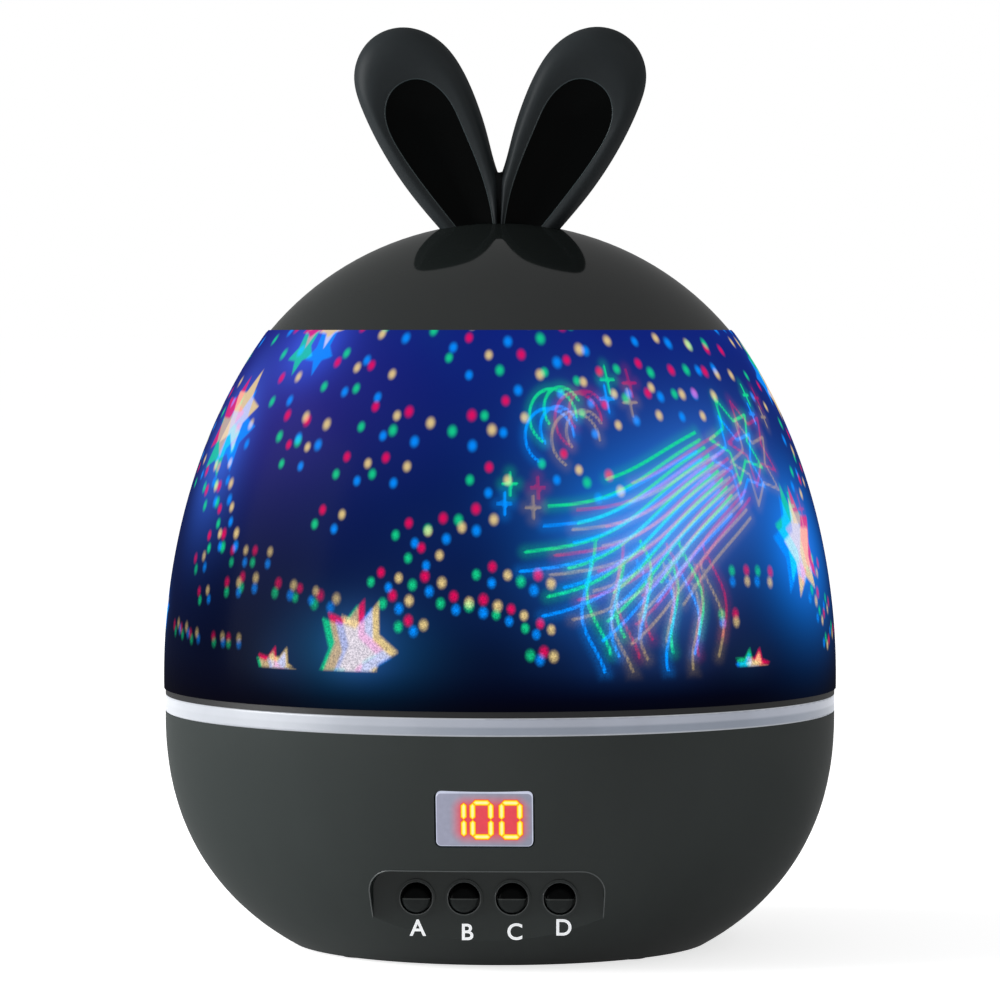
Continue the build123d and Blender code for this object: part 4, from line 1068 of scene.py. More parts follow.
def shade_finish(s):
    """Frosted shade lit from inside: its glow, and each lamp's dots, stars and lines added up."""
    f = Finish("lit_frosted_shade")
    grain = f.noise(3200.0, 2.0, rough=0.7)
    parts = f.node("SeparateXYZ")
    f.feed(f.place(), parts.inputs[0])
    coarse = f.range(parts.outputs["Z"], 86 * MM, 62 * MM)
    amount = f.math("MULTIPLY_ADD", coarse, 2.0, 0.3)
    sparkle = f.math("MULTIPLY_ADD", f.math("SUBTRACT", grain, 0.5), amount, 1.0)
    total, cover, crowd = (0.0, 0.0, 0.0), 0.0, 0.0
    for lamp, (dot_level, star_level, line_level) in LAMP_STRENGTH.items():
        split = f.node("SeparateXYZ")
        f.feed(f.node("Attribute", attribute_name=f"dots_{lamp}").outputs["Vector"], split.inputs[0])
        flat = f.node("CombineXYZ")
        f.feed(split.outputs["X"], flat.inputs["X"])
        f.feed(split.outputs["Y"], flat.inputs["Y"])
        strength = f.math("MULTIPLY", split.outputs["Z"], dot_level)
        dot = f.math("MULTIPLY", f.range(f.vector("LENGTH", flat.outputs[0]), 1.6, 0.2), strength)
        edge = f.node("Attribute", attribute_name=f"stars_{lamp}").outputs["Fac"]
        star = f.math("MULTIPLY", f.range(edge, 0.4, -0.3), star_level)
        away = f.node("Attribute", attribute_name=f"lines_{lamp}").outputs["Fac"]
        line = f.math("MULTIPLY", f.range(away, 0.52, 0.08), line_level)
        haze = f.math("MULTIPLY", f.math("POWER", f.range(away, 2.6, 0.2), 2.0), 0.15 * line_level)
        level = f.math("MAXIMUM", f.math("MAXIMUM", dot, star), f.math("MAXIMUM", line, haze))
        hue = tuple(getattr(s, lamp))
        total = f.vector("ADD", total, f.vector("SCALE", hue, f.math("MULTIPLY", level, sparkle)))
        cover, crowd = f.math("MAXIMUM", cover, level), f.math("ADD", crowd, level)
    shared = f.math("MULTIPLY_ADD", f.math("SUBTRACT", crowd, cover), CROWDING, 1.0)
    total = f.vector("SCALE", total, f.math("DIVIDE", 1.0, shared))
    ground = f.node("Attribute", attribute_name="ground").outputs["Color"]
    total = f.vector("ADD", total, f.vector("SCALE", ground, f.math("MULTIPLY_ADD", cover, -0.85, 1.0)))
    f.set(
        Base_Color=(0.0005, 0.0005, 0.002), Roughness=0.45, Specular_IOR_Level=0.0, Coat_Weight=0.012,
        Coat_Roughness=0.2,
    )
    f.glow(total, 1.0)
    f.bump(grain, 0.05, 0.02 * MM)
    return f.material


# ------------------------------------------------------------------ light ring
def ring_finish(s):
    """Milky ring lit from inside, brighter at its edges and by each lamp behind it, with painted shade on
    its dimmer lower band and painted key light that brightens its left side.
    """
    f = Finish("lit_milky_ring")
    parts = f.node("SeparateXYZ")
    f.feed(f.place(), parts.inputs[0])
    above = f.math("SUBTRACT", parts.outputs["Z"], HOUSING_HIGH.z)
    height = f.math("DIVIDE", above, RING_HIGH.z - HOUSING_HIGH.z)
    turn = f.math("ARCTAN2", parts.outputs["X"], f.math("MULTIPLY", parts.outputs["Y"], -1.0))
    side = f.math("SINE", turn)
    lamps = f.math("COSINE", f.math("MULTIPLY", turn, 12.0))
    # painted shade: the ring's lower band takes the dimmer shadow colour
    band = f.range(height, 0.42, 0.58)
    hue = f.mix(band, s.shadow, s.glow)
    # painted key light: towards -X the ring is mixed into its bright edge colour
    hue = f.mix(f.range(side, -0.9, 0.1, 0.75, 0.0), hue, s.edge)
    rim = f.math("MAXIMUM", f.range(height, 0.12, 0.02), f.range(height, 0.9, 0.98))
    hue = f.mix(f.math("MULTIPLY", rim, 0.8), hue, s.edge)
    strength = f.math("MULTIPLY_ADD", lamps, 0.02, f.range(f.noise(120.0), 0.3, 0.7, 0.48, 0.53))
    f.set(Base_Color=(0.15, 0.16, 0.18), Roughness=0.3)
    f.glow(hue, strength)
    f.bump(f.noise(500.0), 0.06, 0.04 * MM)
    return f.material


# ------------------------------------------------------------------ display
BOWL_DEPTH, BOWL_FULLNESS = 51.0 * MM, 2.3
WINDOW_SINK, WINDOW_DROP, WINDOW_TALL = 0.6 * MM, 14.7 * MM, 9.85 * MM
SEGMENTS = {"0": "abcdef", "1": "bc", "2": "abdeg", "3": "abcdg", "4": "bcfg", "5": "acdfg", "6": "acdefg",
            "7": "abc", "8": "abcdefg", "9": "abcdfg", " ": ""}

# levels of a lit segment from its foot to its crown: growth and height in mm, and heat
SEGMENT_LEVELS = ((0.2, 0.01, 0.0), (0.06, 0.03, 0.35), (-0.16, 0.05, 0.8), (-0.32, 0.06, 1.0))
FIRST_DIGIT = -5.5 * MM  # across to the middle of the left digit


def bowl_reach(z):
    """Radius of the base's outside at a height."""
    drop = (HOUSING_HIGH.z - z) / BOWL_DEPTH
    return HOUSING_HIGH.x * (1 - drop**BOWL_FULLNESS) ** (1 / BOWL_FULLNESS)


def window_plane():
    """Frame of the display: across, up along the plate, and out of it."""
    middle = HOUSING_HIGH.z - WINDOW_DROP
    half = WINDOW_TALL / 2
    tilt = math.atan((bowl_reach(middle + half) - bowl_reach(middle - half)) / (2 * half))
    out = Vector((0, -math.cos(tilt), -math.sin(tilt)))
    across, up = Vector((1, 0, 0)), Vector((0, -math.sin(tilt), math.cos(tilt)))
    origin = Vector((0, -bowl_reach(middle), middle)) - out * WINDOW_SINK
    place = Matrix((across, up, out)).transposed().to_4x4()
    place.translation = origin
    return place


def rounded_rectangle(width, height, corner, steps=6):
    """Outline points of a rounded rectangle, counter-clockwise."""
    points = []
    for cx, cy, start in ((1, 1, 0), (-1, 1, 90), (-1, -1, 180), (1, -1, 270)):
        for i in range(steps + 1):
            a = math.radians(start + 90 * i / steps)
            points.append((
                cx * (width / 2 - corner) + corner * math.cos(a),
                cy * (height / 2 - corner) + corner * math.sin(a),
            ))
    return np.array(points)


def segment_outline(kind, width, height, thick, gap):
    """Six-sided outline of one segment of a digit about the digit's middle."""
    h, w, t = height / 2 - thick / 2, width / 2 - thick / 2, thick / 2
    flat = {"a": (0, h), "g": (0, 0), "d": (0, -h)}
    tall = {"b": (w, h / 2), "c": (w, -h / 2), "e": (-w, -h / 2), "f": (-w, h / 2)}
    if kind in flat:
        x, y = flat[kind]
        r = w - gap
        lower = [(x - r, y), (x - r + t, y - t), (x + r - t, y - t)]
        return lower + [(x + r, y), (x + r - t, y + t), (x - r + t, y + t)]
    x, y = tall[kind]
    r = h / 2 - gap
    right = [(x, y - r), (x + t, y - r + t), (x + t, y + r - t)]
    return right + [(x, y + r), (x - t, y + r - t), (x - t, y - r + t)]


def plate_finish(s, left, right, half_height):
    """Smoked plate of the display, whose look is painted as a glow: its grey tone, darker towards +X as
    painted shade, a painted highlight along its bevel, and the red that the lit digits spread in it.
    """
    f = Finish("display_plate")
    parts = f.node("SeparateXYZ")
    f.feed(f.place(), parts.inputs[0])
    middle, half = (left + right) / 2, (right - left) / 2
    aside = f.math("ABSOLUTE", f.math("SUBTRACT", parts.outputs["X"], middle))
    dx = f.math("MAXIMUM", f.math("SUBTRACT", aside, half), 0.0)
    dy = f.math("MAXIMUM", f.math("SUBTRACT", f.math("ABSOLUTE", parts.outputs["Y"]), half_height), 0.0)
    away = f.math("SQRT", f.math("ADD", f.math("POWER", dx, 2.0), f.math("POWER", dy, 2.0)))
    glow = f.range(away, 3.1 * MM, 0.0, 0.0, 0.95)
    # painted shade: the glowing tone darkens towards +X, away from the key lamp
    tone = f.mix(f.range(parts.outputs["X"], -8 * MM, 6 * MM), s.plate, tinted(s.plate, 0.82))
    # painted highlight: the bevel round the front face glows in the bevel colour
    bevel = f.range(parts.outputs["Z"], -0.02 * MM, -0.08 * MM)
    hue = f.mix(bevel, f.mix(glow, tone, s.glow), s.bevel)
    f.set(Base_Color=tinted(s.plate, 0.1), Roughness=0.16, Specular_IOR_Level=0.2)
    # painted light: the plate glows in these colours though only the digits behind it are lit
    f.glow(hue, f.range(f.noise(900.0), 0.3, 0.7, 0.92, 1.0))
    f.bump(f.noise(700.0), 0.05, 0.03 * MM)
    return f.material


def digit_finish(s):
    """Lit segment, pale yellow at its middle, orange towards its rim and red where it ends."""
    f = Finish("lit_digit")
    core = f.node("Attribute", attribute_name="core").outputs["Fac"]
    outer = f.mix(f.range(core, 0.0, 0.3), s.glow, s.rim)
    hue = f.mix(f.range(core, 0.3, 0.62), outer, s.core)
    hue = f.mix(f.range(core, 0.75, 1.0), hue, shown(255, 248, 170))
    f.set(Base_Color=(0.02, 0.01, 0.01), Roughness=0.3, Specular_IOR_Level=0.1)
    f.glow(hue, f.range(f.noise(2500.0), 0.3, 0.7, 0.96, 1.04))
    return f.material


def make_display(s):
    """The display's plate in its window, with the lit digits on it."""
    place, width = window_plane(), WINDOW_HIGH.x - WINDOW_LOW.x
    height, corner = WINDOW_TALL, 0.9 * MM
    first = FIRST_DIGIT
    left = first + s.digit_width / 2 + 0.3 * MM
    right = first + 2 * s.digit_pitch + s.digit_width / 2 - 1.2 * MM
    rings = [(0.0, -1.0 * MM), (0.0, -0.18 * MM), (0.2 * MM, 0.0), (0.3 * MM, 0.0)]
    outline = rounded_rectangle(width, height, corner)
    points, count = [], len(outline)
    for inset, z in rings:
        ring = rounded_rectangle(width - 2 * inset, height - 2 * inset, max(corner - inset, 0.05 * MM))
        points += [(x, y, z) for x, y in ring]
    faces = ring_faces(len(rings), count)
    faces.append(tuple(range((len(rings) - 1) * count, len(rings) * count)))
    faces.append(tuple(reversed(range(count))))
    finish = plate_finish(s, left, right, s.digit_height / 2 - 1.7 * MM)
    plate = add_piece(
        "display_plate", points, faces, finish, "base", "window_smoke", ("display_window",), False, place,
    )
    tidy_mesh(plate)

    points, faces, core = [], [], []
    for position, sign in enumerate(s.number.rjust(3)[:3]):
        middle = first + position * s.digit_pitch + (0.35 * MM if sign == "1" else 0.0)
        for kind in SEGMENTS.get(sign, ""):
            line = np.array(segment_outline(kind, s.digit_width, s.digit_height, s.segment, 0.1 * MM))
            centre, start = line.mean(axis=0), len(points)
            reach = np.abs(line - centre).max(axis=0)
            for grow, lift, heat in SEGMENT_LEVELS:
                scale = (reach + grow * MM) / reach
                for x, y in centre + (line - centre) * np.maximum(scale, 0.1):
                    points.append((middle + x, y, lift * MM))
                    core.append(heat)
            for level in range(3):
                at = start + 6 * level
                faces += [(at + i, at + (i + 1) % 6, at + 6 + (i + 1) % 6, at + 6 + i) for i in range(6)]
            faces.append(tuple(range(start + 18, start + 24)))
    digits = add_piece(
        "display_digits", points, faces, digit_finish(s), "base", "display_face", (), False, place,
    )
    digits.data.attributes.new("core", "FLOAT", "POINT").data.foreach_set("value", core)


# ------------------------------------------------------------------ buttons
BUTTON_LOW, BUTTON_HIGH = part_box("button_b")
BUTTON_HEIGHT = (BUTTON_LOW.z + BUTTON_HIGH.z) / 2
PANEL_FACE = 46.3  # from the middle to the flat face at the back of the pocket, mm
HOLE_REACH, LIP_PROUD, LIP_OUT = 2.5, 0.3, 0.42  # radius of a button's hole, and its lip's place by it, mm
CAPITAL_SHARE = 0.69  # height of a capital over the size of the lettering
# each button's letter, how far it stands aside of the button, and the height of its middle, mm
LETTERS = {"a": ("A", 0.25, 7.95), "b": ("B", 0.5, 7.25), "c": ("C", 0.5, 7.35), "d": ("D", 0.65, 8.15)}


def button_finish(name, s):
    """Gloss button painted with a reflection: a dark upper half with less coat and a paler lower one, parted
    by a bright lip line that is a painted highlight.
    """
    f = Finish(name)
    parts = f.node("SeparateXYZ")
    f.feed(f.place(), parts.inputs[0])
    height = f.math("SUBTRACT", parts.outputs["Z"], BUTTON_HEIGHT)
    # painted reflection: near black above the button's middle height, paler and speckled below it, with more
    # coat below
    lower = f.range(height, 0.12 * MM, -0.12 * MM)
    # painted highlight: a bright line across the middle in the lip colour
    lip = f.range(f.math("ABSOLUTE", height), 0.16 * MM, 0.04 * MM)
    speck = f.noise(700.0, 3.0)
    hue = f.mix(lower, tinted(s.cap, 0.1), f.mix(speck, tinted(s.cap, 0.6), tinted(s.cap, 1.2)))
    f.set(
        Base_Color=f.mix(f.math("MULTIPLY", lip, 0.35), hue, s.lip),
        Roughness=0.4,
        Specular_IOR_Level=0.0,
        Coat_Weight=f.math("MULTIPLY_ADD", lower, 0.12, 0.03),
        Coat_Roughness=0.06,
    )
    f.bump(speck, 0.06, 0.04 * MM)
    return f.material


def print_finish(s):
    """Pad-printed letters, a little uneven at the edge of the ink, with a painted glow in the ink colour
    that keeps them bright.
    """
    f = Finish("printed_letters")
    ink = f.noise(2600.0, 3.0)
    hue = f.mix(ink, tinted(s.print_colour, 0.86), s.print_colour)
    f.set(Base_Color=hue, Roughness=0.5, Specular_IOR_Level=0.1)
    # painted light: the letters glow though they are no lamp
    f.glow(s.print_colour, 0.5)
    f.bump(ink, 0.1, 0.02 * MM)
    return f.material


def pocket_edge():
    """Line over the sides and the top of the button pocket where it meets the bowl, in mm."""
    half, top, corner, face, draft = 20.3, 18.2, 3.5, PANEL_FACE, math.tan(math.radians(5.0))
    share = math.hypot(half, face) * MM / HOUSING_HIGH.x
    low = (HOUSING_HIGH.z - BOWL_DEPTH * (1 - share**BOWL_FULLNESS) ** (1 / BOWL_FULLNESS)) / MM
    rim = [(-half, z, -1.0, 0.0) for z in np.linspace(low, top - corner, 12)]
    rim += [
        (
            -half + corner - corner * math.cos(a), top - corner + corner * math.sin(a),
            -math.cos(a), math.sin(a),
        )
        for a in np.radians(np.linspace(8, 82, 8))
    ]
    rim += [(x, top, 0.0, 1.0) for x in np.linspace(-half + corner, 0, 12)]
    rim += [(-x, z, -nx, nz) for x, z, nx, nz in reversed(rim[:-1])]
    line = []
    for x, z, nx, nz in rim:
        near, far = 0.0, 18.0
        for _ in range(40):
            t = (near + far) / 2
            px, pz = x + nx * t * draft, z + nz * t * draft
            inside = math.hypot(px, face + t) < bowl_reach(pz * MM) / MM
            near, far = (t, far) if inside else (near, t)
        line.append((px, -face - t, pz))
    return np.array(line)


def tube(line, thick, sides=8):
    """Points and faces of a thin round line, closed where its ends meet."""
    closed = np.allclose(line[0], line[-1])
    if closed:
        line = line[:-1]
        ahead = np.roll(line, -1, axis=0) - np.roll(line, 1, axis=0)
    else:
        ahead = np.gradient(line, axis=0)
    ahead /= np.linalg.norm(ahead, axis=1)[:, None]
    out = np.stack([0.2 * line[:, 0], line[:, 1], np.zeros(len(line))], axis=1)
    side = np.cross(ahead, out)
    side /= np.linalg.norm(side, axis=1)[:, None]
    out = np.cross(side, ahead)
    turns = np.arange(sides) * 2 * math.pi / sides
    points = line[:, None, :] + thick * (
        np.cos(turns)[None, :, None] * out[:, None, :] + np.sin(turns)[None, :, None] * side[:, None, :]
    )
    count = len(line)
    faces = []
    for i in range(count if closed else count - 1):
        here, there = i * sides, (i + 1) % count * sides
        for k in range(sides):
            j = (k + 1) % sides
            faces.append((here + k, here + j, there + j, there + k))
    if not closed:
        faces += [tuple(range(sides)), tuple((count - 1) * sides + k for k in reversed(range(sides)))]
    return points.reshape(-1, 3) * MM, faces


def make_pocket_edge(s):
    """Thin polished line over the button pocket, and a polished lip round each button's hole, both lighter
    than the shell as a painted highlight.
    """
    # painted highlight: the edge colour is lighter than the base's shell
    finish = polished_shell_finish("pocket_edge_line", s.edge, 0.12, 0.05, 0.3)
    tidy_mesh(add_piece("pocket_edge", *tube(pocket_edge(), 0.13), finish, "base", "shell_gloss"))
    turns = np.linspace(0, 2 * math.pi, 65)
    for key in "abcd":
        low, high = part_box(f"button_{key}")
        across, reach = (low.x + high.x) / 2 / MM, HOLE_REACH + LIP_OUT
        line = np.stack([
            across + reach * np.sin(turns), np.full(65, -PANEL_FACE - LIP_PROUD),
            BUTTON_HEIGHT / MM + reach * np.cos(turns),
        ], axis=1)
        tidy_mesh(add_piece(f"button_lip_{key}", *tube(line, 0.12), finish, "base", "shell_gloss"))


def make_letters(s):
    """A printed letter under each button."""
    finish = print_finish(s)
    for key, (letter, shift, z) in LETTERS.items():
        low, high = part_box(f"button_{key}")
        text = bpy.data.curves.new(f"letter_{letter}", "FONT")
        text.body = letter
        text.align_x = "CENTER"
        text.size = s.letter_height / CAPITAL_SHARE
        text.offset = s.stroke
        text.extrude = 0.03 * MM
        shape = bpy.data.objects.new("letter_shape", text)
        bpy.context.scene.collection.objects.link(shape)
        bpy.context.view_layer.update()
        mesh = bpy.data.meshes.new_from_object(shape.evaluated_get(bpy.context.evaluated_depsgraph_get()))
        bpy.data.objects.remove(shape)
        mesh.materials.clear()
        foot = ((low.x + high.x) / 2 + shift * MM, -PANEL_FACE * MM, z * MM - s.letter_height / 2)
        matrix = Matrix.Translation(foot) @ Matrix.Rotation(math.pi / 2, 4, "X")
        seat_mesh(f"printed_letter_{letter}", mesh, finish, "base", (), matrix)


# ------------------------------------------------------------------ film drum
def film_finish():
    """Clear film printed dark, with clear dots left in the print."""
    f = Finish("printed_film")
    parts = f.node("SeparateXYZ")
    f.feed(f.place(), parts.inputs[0])
    turn = f.math("ARCTAN2", parts.outputs["X"], parts.outputs["Y"])
    flat = f.node("CombineXYZ")
    f.put(flat.inputs["X"], f.math("MULTIPLY", turn, 0.036))
    f.put(flat.inputs["Y"], parts.outputs["Z"])
    holes = f.node("TexVoronoi", voronoi_dimensions="2D")
    f.feed(flat.outputs[0], holes.inputs["Vector"])
    holes.inputs["Scale"].default_value = 210.0
    holes.inputs["Randomness"].default_value = 0.35
    ink = f.range(holes.outputs["Distance"], 0.16, 0.2)
    f.set(
        Base_Color=f.mix(ink, (0.85, 0.88, 0.95), (0.01, 0.012, 0.05)),
        Roughness=0.2,
        Alpha=f.range(ink, 0.0, 1.0, 0.25, 0.97, soft=False),
    )
    f.bump(ink, 0.1, 0.02 * MM)
    return f.material


# ------------------------------------------------------------------ stage
def aim(thing, place, target):
    thing.location = place
    thing.rotation_euler = (Vector(target) - Vector(place)).to_track_quat("-Z", "Y").to_euler()


def soft_lamp(name, place, size, power, target=(0, 0, 0.085)):
    data = bpy.data.lights.new(name, "AREA")
    data.shape, data.size, data.size_y, data.energy = "RECTANGLE", size[0], size[1], power
    lamp = bpy.data.objects.new(name, data)
    bpy.context.scene.collection.objects.link(lamp)
    aim(lamp, place, target)
    return lamp


def background_rays(tree):
    """One for the rays that see the background: straight, off gloss or through glass."""
    path = tree.nodes.new("ShaderNodeLightPath")
    total = path.outputs["Is Camera Ray"]
    for name in ("Is Glossy Ray", "Is Transmission Ray"):
        add = tree.nodes.new("ShaderNodeMath")
        add.operation, add.use_clamp = "ADD", True
        tree.links.new(total, add.inputs[0])
        tree.links.new(path.outputs[name], add.inputs[1])
        total = add.outputs[0]
    return total


def make_stage(s):
    """Floor, room light, lamps and camera."""
    scene = bpy.context.scene
    world = bpy.data.worlds.new("studio")
    world.use_nodes = True
    scene.world = world
    sky = world.node_tree.nodes["Background"]
    sky.inputs["Color"].default_value = (1, 1, 1, 1)
    level = world.node_tree.nodes.new("ShaderNodeMapRange")
    world.node_tree.links.new(background_rays(world.node_tree), level.inputs[0])
    level.inputs["To Min"].default_value = s.ambient
    level.inputs["To Max"].default_value = 1.0
    world.node_tree.links.new(level.outputs[0], sky.inputs["Strength"])

    mesh = bpy.data.meshes.new("table")
    half, under = 60.0, -0.02 * MM
    corners = [(-half, -half, under), (half, -half, under), (half, half, under), (-half, half, under)]
    mesh.from_pydata(corners, [], [(0, 1, 2, 3)])
    floor = bpy.data.objects.new("table", mesh)
    scene.collection.objects.link(floor)
    f = Finish("pale_table")
    f.set(Base_Color=tuple(s.floor), Roughness=0.9, Specular_IOR_Level=0.0)
    f.feed(background_rays(f.tree), f.surface.inputs["Emission Strength"])
    f.surface.inputs["Emission Color"].default_value = (0.72, 0.72, 0.72, 1)
    mesh.materials.append(f.material)

    soft_lamp("key", (-1.345, -0.21, 0.42), (1.0, 1.1), s.key)
    soft_lamp("side", (0.8, -0.5, 0.9), (0.5, 0.5), s.fill)

    camera = bpy.data.objects.new("camera", bpy.data.cameras.new("camera"))
    scene.collection.objects.link(camera)
    camera.data.lens, camera.data.sensor_width = s.lens, 36.0
    camera.data.clip_start, camera.data.clip_end = 0.01, 200.0
    camera.location = (math.sin(s.azimuth) * s.distance, -math.cos(s.azimuth) * s.distance, s.height)
    camera.rotation_euler = (math.pi / 2 - s.pitch, 0.0, s.azimuth)
    scene.camera = camera
    scene.view_settings.view_transform = "Standard"


# ------------------------------------------------------------------ operators
class NightLightOperator:
    bl_options = {"REGISTER", "UNDO"}


class NIGHTLIGHT_OT_shells(NightLightOperator, bpy.types.Operator):
    """Finish the glossy base and cap and the collar between them"""

    bl_idname = "night_light.shells"
    bl_label = "Base and Cap"

    def execute(self, context):
        s = settings().shell
        base, cap = tinted(s.shell, 0.82), tinted(s.shell, 0.3)
        coat(polished_shell_finish("gloss_base", base, s.roughness, s.ripple, 0.078), "base_housing")
        coat(polished_shell_finish("gloss_cap", cap, s.roughness, s.ripple * 0.6, 0.155), "top_cap")
        coat(satin_finish("collar_plastic", shown(10, 11, 13), 0.4), "shade_collar")
        make_pocket_edge(s)
        return {"FINISHED"}


class NIGHTLIGHT_OT_ears(NightLightOperator, bpy.types.Operator):
    """Model the two ears and their hollow glossy faces"""

    bl_idname = "night_light.ears"
    bl_label = "Ears"

    def execute(self, context):
        make_ears(settings().ears)
        return {"FINISHED"}


class NIGHTLIGHT_OT_shade(NightLightOperator, bpy.types.Operator):
    """Model the shade with the light that the lamps throw on it"""

    bl_idname = "night_light.shade"
    bl_label = "Shade"

    def execute(self, context):
        make_shade(settings().shade)
        return {"FINISHED"}


class NIGHTLIGHT_OT_ring(NightLightOperator, bpy.types.Operator):
    """Light the ring round the base and finish its board and lamps"""

    bl_idname = "night_light.ring"
    bl_label = "Light Ring"

    def execute(self, context):
        coat(ring_finish(settings().ring), "light_ring")
        coat(board_finish("ring_board_white", (0.72, 0.73, 0.7), (0.55, 0.56, 0.53)), "ring_board")
        coat(lens_finish("ring_lamp", (0.9, 0.92, 1.0), 2.0), "ring_leds")
        return {"FINISHED"}


class NIGHTLIGHT_OT_display(NightLightOperator, bpy.types.Operator):
    """Model the display's plate and its lit digits"""

    bl_idname = "night_light.display"
    bl_label = "Display"

    def execute(self, context):
        make_display(settings().display)
        coat(satin_finish("display_module_grey", shown(110, 104, 122), 0.5), "display_module")
        return {"FINISHED"}


class NIGHTLIGHT_OT_buttons(NightLightOperator, bpy.types.Operator):
    """Finish the buttons and print the letters under them"""

    bl_idname = "night_light.buttons"
    bl_label = "Buttons"

    def execute(self, context):
        s = settings().buttons
        for key in "abcd":
            coat(button_finish(f"button_gloss_{key}", s), f"button_{key}")
            coat(textured_plastic_finish(f"plunger_plastic_{key}", (0.03, 0.03, 0.035)), f"plunger_{key}")
        make_letters(s)
        return {"FINISHED"}


class NIGHTLIGHT_OT_film_drum(NightLightOperator, bpy.types.Operator):
    """Finish the film drum: its holder, printed film, dome and turntable"""

    bl_idname = "night_light.film_drum"
    bl_label = "Film Drum"

    def execute(self, context):
        coat(film_finish(), "film_sheet")
        coat(clear_finish("clear_dome", (0.82, 0.86, 0.95), 0.1, 0.75), "film_dome")
        coat(textured_plastic_finish("holder_plastic", (0.025, 0.026, 0.03), 0.45), "film_holder")
        white = (0.72, 0.72, 0.69)
        coat(textured_plastic_finish("turntable_plastic", white, 0.42, 1800.0, 0.12), "turntable")
        coat(steel_finish("bush_brass", (0.72, 0.52, 0.2), 0.25, (1, 1, 20)), "turntable_bush")
        return {"FINISHED"}


class NIGHTLIGHT_OT_drive(NightLightOperator, bpy.types.Operator):
    """Finish the deck, spindle, motor and pinion"""

    bl_idname = "night_light.drive"
    bl_label = "Deck and Drive"

    def execute(self, context):
        coat(textured_plastic_finish("deck_plastic", (0.022, 0.023, 0.026), 0.5), "top_deck")
        coat(satin_finish("spindle_acetal", (0.82, 0.82, 0.8), 0.36, 900.0), "spindle")
        coat(satin_finish("washer_nylon", (0.8, 0.77, 0.66), 0.45, 900.0), "thrust_washer")
        coat(satin_finish("pinion_nylon", (0.83, 0.81, 0.72), 0.4, 900.0), "motor_pinion")
        coat(steel_finish("motor_can_steel", (0.6, 0.61, 0.62), 0.3), "motor_can")
        coat(textured_plastic_finish("gearbox_plastic", (0.03, 0.03, 0.032), 0.5), "gearbox")
        coat(steel_finish("shaft_steel", (0.66, 0.67, 0.69), 0.18), "motor_shaft")
        return {"FINISHED"}


class NIGHTLIGHT_OT_electrics(NightLightOperator, bpy.types.Operator):
    """Finish the lamps, boards, switches, socket and wires"""

    bl_idname = "night_light.electrics"
    bl_label = "Lamps and Boards"

    def execute(self, context):
        s = settings().shade
        for lamp in LAMPS:
            coat(lens_finish(f"lamp_lens_{lamp}", tuple(getattr(s, lamp)), 3.0), f"led_{lamp}")
        coat(board_finish("lamp_board_white", (0.74, 0.75, 0.72), (0.5, 0.5, 0.46)), "led_board")
        green, run = (0.012, 0.11, 0.045), (0.03, 0.2, 0.09)
        for name in ("main_board", "display_board", "button_board"):
            coat(board_finish(f"{name}_green", green, run), name)
        coat(textured_plastic_finish("switch_plastic", (0.03, 0.03, 0.03), 0.5), "switch_bodies")
        coat(steel_finish("socket_steel", (0.68, 0.68, 0.7), 0.22), "usb_socket")
        coat(wire_finish("lamp_wires", (0.45, 0.03, 0.03), (0.02, 0.02, 0.02)), "led_lead")
        coat(wire_finish("motor_wires", (0.5, 0.04, 0.03), (0.02, 0.05, 0.3)), "motor_leads")
        coat(wire_finish("battery_wires", (0.5, 0.03, 0.03), (0.015, 0.015, 0.015)), "battery_leads")
        return {"FINISHED"}


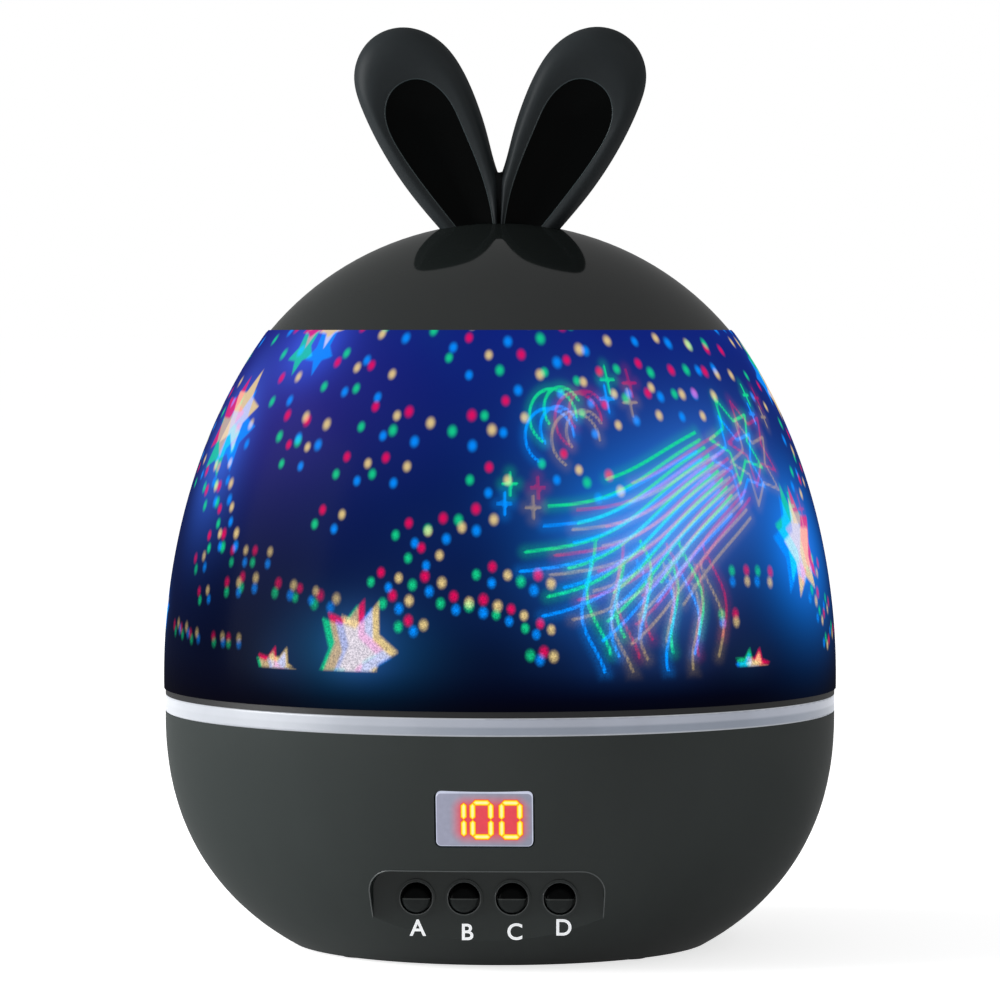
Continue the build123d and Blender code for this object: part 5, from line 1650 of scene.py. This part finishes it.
class NIGHTLIGHT_OT_underside(NightLightOperator, bpy.types.Operator):
    """Finish the bottom cover, battery door, cells, feet and screws"""

    bl_idname = "night_light.underside"
    bl_label = "Underside"

    def execute(self, context):
        black = (0.02, 0.021, 0.024)
        coat(textured_plastic_finish("bottom_cover_plastic", black, 0.5, 1700.0, 0.5), "bottom_cover")
        black = (0.022, 0.023, 0.026)
        coat(textured_plastic_finish("door_plastic", black, 0.48, 1700.0, 0.5), "battery_door")
        coat(rubber_finish("foot_rubber", (0.014, 0.014, 0.015)), "rubber_feet")
        coat(cell_finish(), "battery_cells")
        coat(steel_finish("spring_nickel", (0.74, 0.74, 0.76), 0.16), "battery_springs")
        coat(steel_finish("plate_nickel", (0.72, 0.72, 0.74), 0.2), "battery_plates")
        for name in SCREWS:
            coat(steel_finish(f"{name}_plated", (0.6, 0.6, 0.61), 0.3, (1, 1, 6)), name)
        return {"FINISHED"}


class NIGHTLIGHT_OT_stage(NightLightOperator, bpy.types.Operator):
    """Set the table, lamps, room light and camera"""

    bl_idname = "night_light.stage"
    bl_label = "Stage"

    def execute(self, context):
        make_stage(settings().stage)
        return {"FINISHED"}


SCREWS = ("ear_screws", "deck_screws", "spindle_screws", "motor_screws", "cover_screws", "door_screw")
STEPS = (
    "stage", "shells", "ears", "shade", "ring", "display", "buttons", "film_drum", "drive", "electrics",
    "underside",
)


class NIGHTLIGHT_PT_sidebar(bpy.types.Panel):
    """Lists the pieces of the night light and their settings"""

    bl_idname = "NIGHTLIGHT_PT_sidebar"
    bl_label = "Night Light"
    bl_space_type = "VIEW_3D"
    bl_region_type = "UI"
    bl_category = "Night Light"

    def draw(self, context):
        for step in STEPS:
            self.layout.operator(f"night_light.{step}")
        for group in ("shell", "ears", "shade", "ring", "display", "buttons", "stage"):
            box = self.layout.box()
            box.label(text=group.capitalize())
            values = getattr(settings(), group)
            for name in values.__annotations__:
                box.prop(values, name)


CLASSES = (
    ShellSettings, EarSettings, ShadeSettings, RingSettings, DisplaySettings, ButtonSettings, StageSettings,
    NightLightSettings, NIGHTLIGHT_OT_shells, NIGHTLIGHT_OT_ears, NIGHTLIGHT_OT_shade, NIGHTLIGHT_OT_ring,
    NIGHTLIGHT_OT_display, NIGHTLIGHT_OT_buttons, NIGHTLIGHT_OT_film_drum, NIGHTLIGHT_OT_drive,
    NIGHTLIGHT_OT_electrics, NIGHTLIGHT_OT_underside, NIGHTLIGHT_OT_stage, NIGHTLIGHT_PT_sidebar,
)


def register():
    for cls in CLASSES:
        bpy.utils.register_class(cls)
    bpy.types.Scene.night_light = PointerProperty(type=NightLightSettings)


def unregister():
    del bpy.types.Scene.night_light
    for cls in reversed(CLASSES):
        bpy.utils.unregister_class(cls)


def main():
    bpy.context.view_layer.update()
    register()
    for step in STEPS:
        getattr(bpy.ops.night_light, step)()


if __name__ == "__main__":
    main()
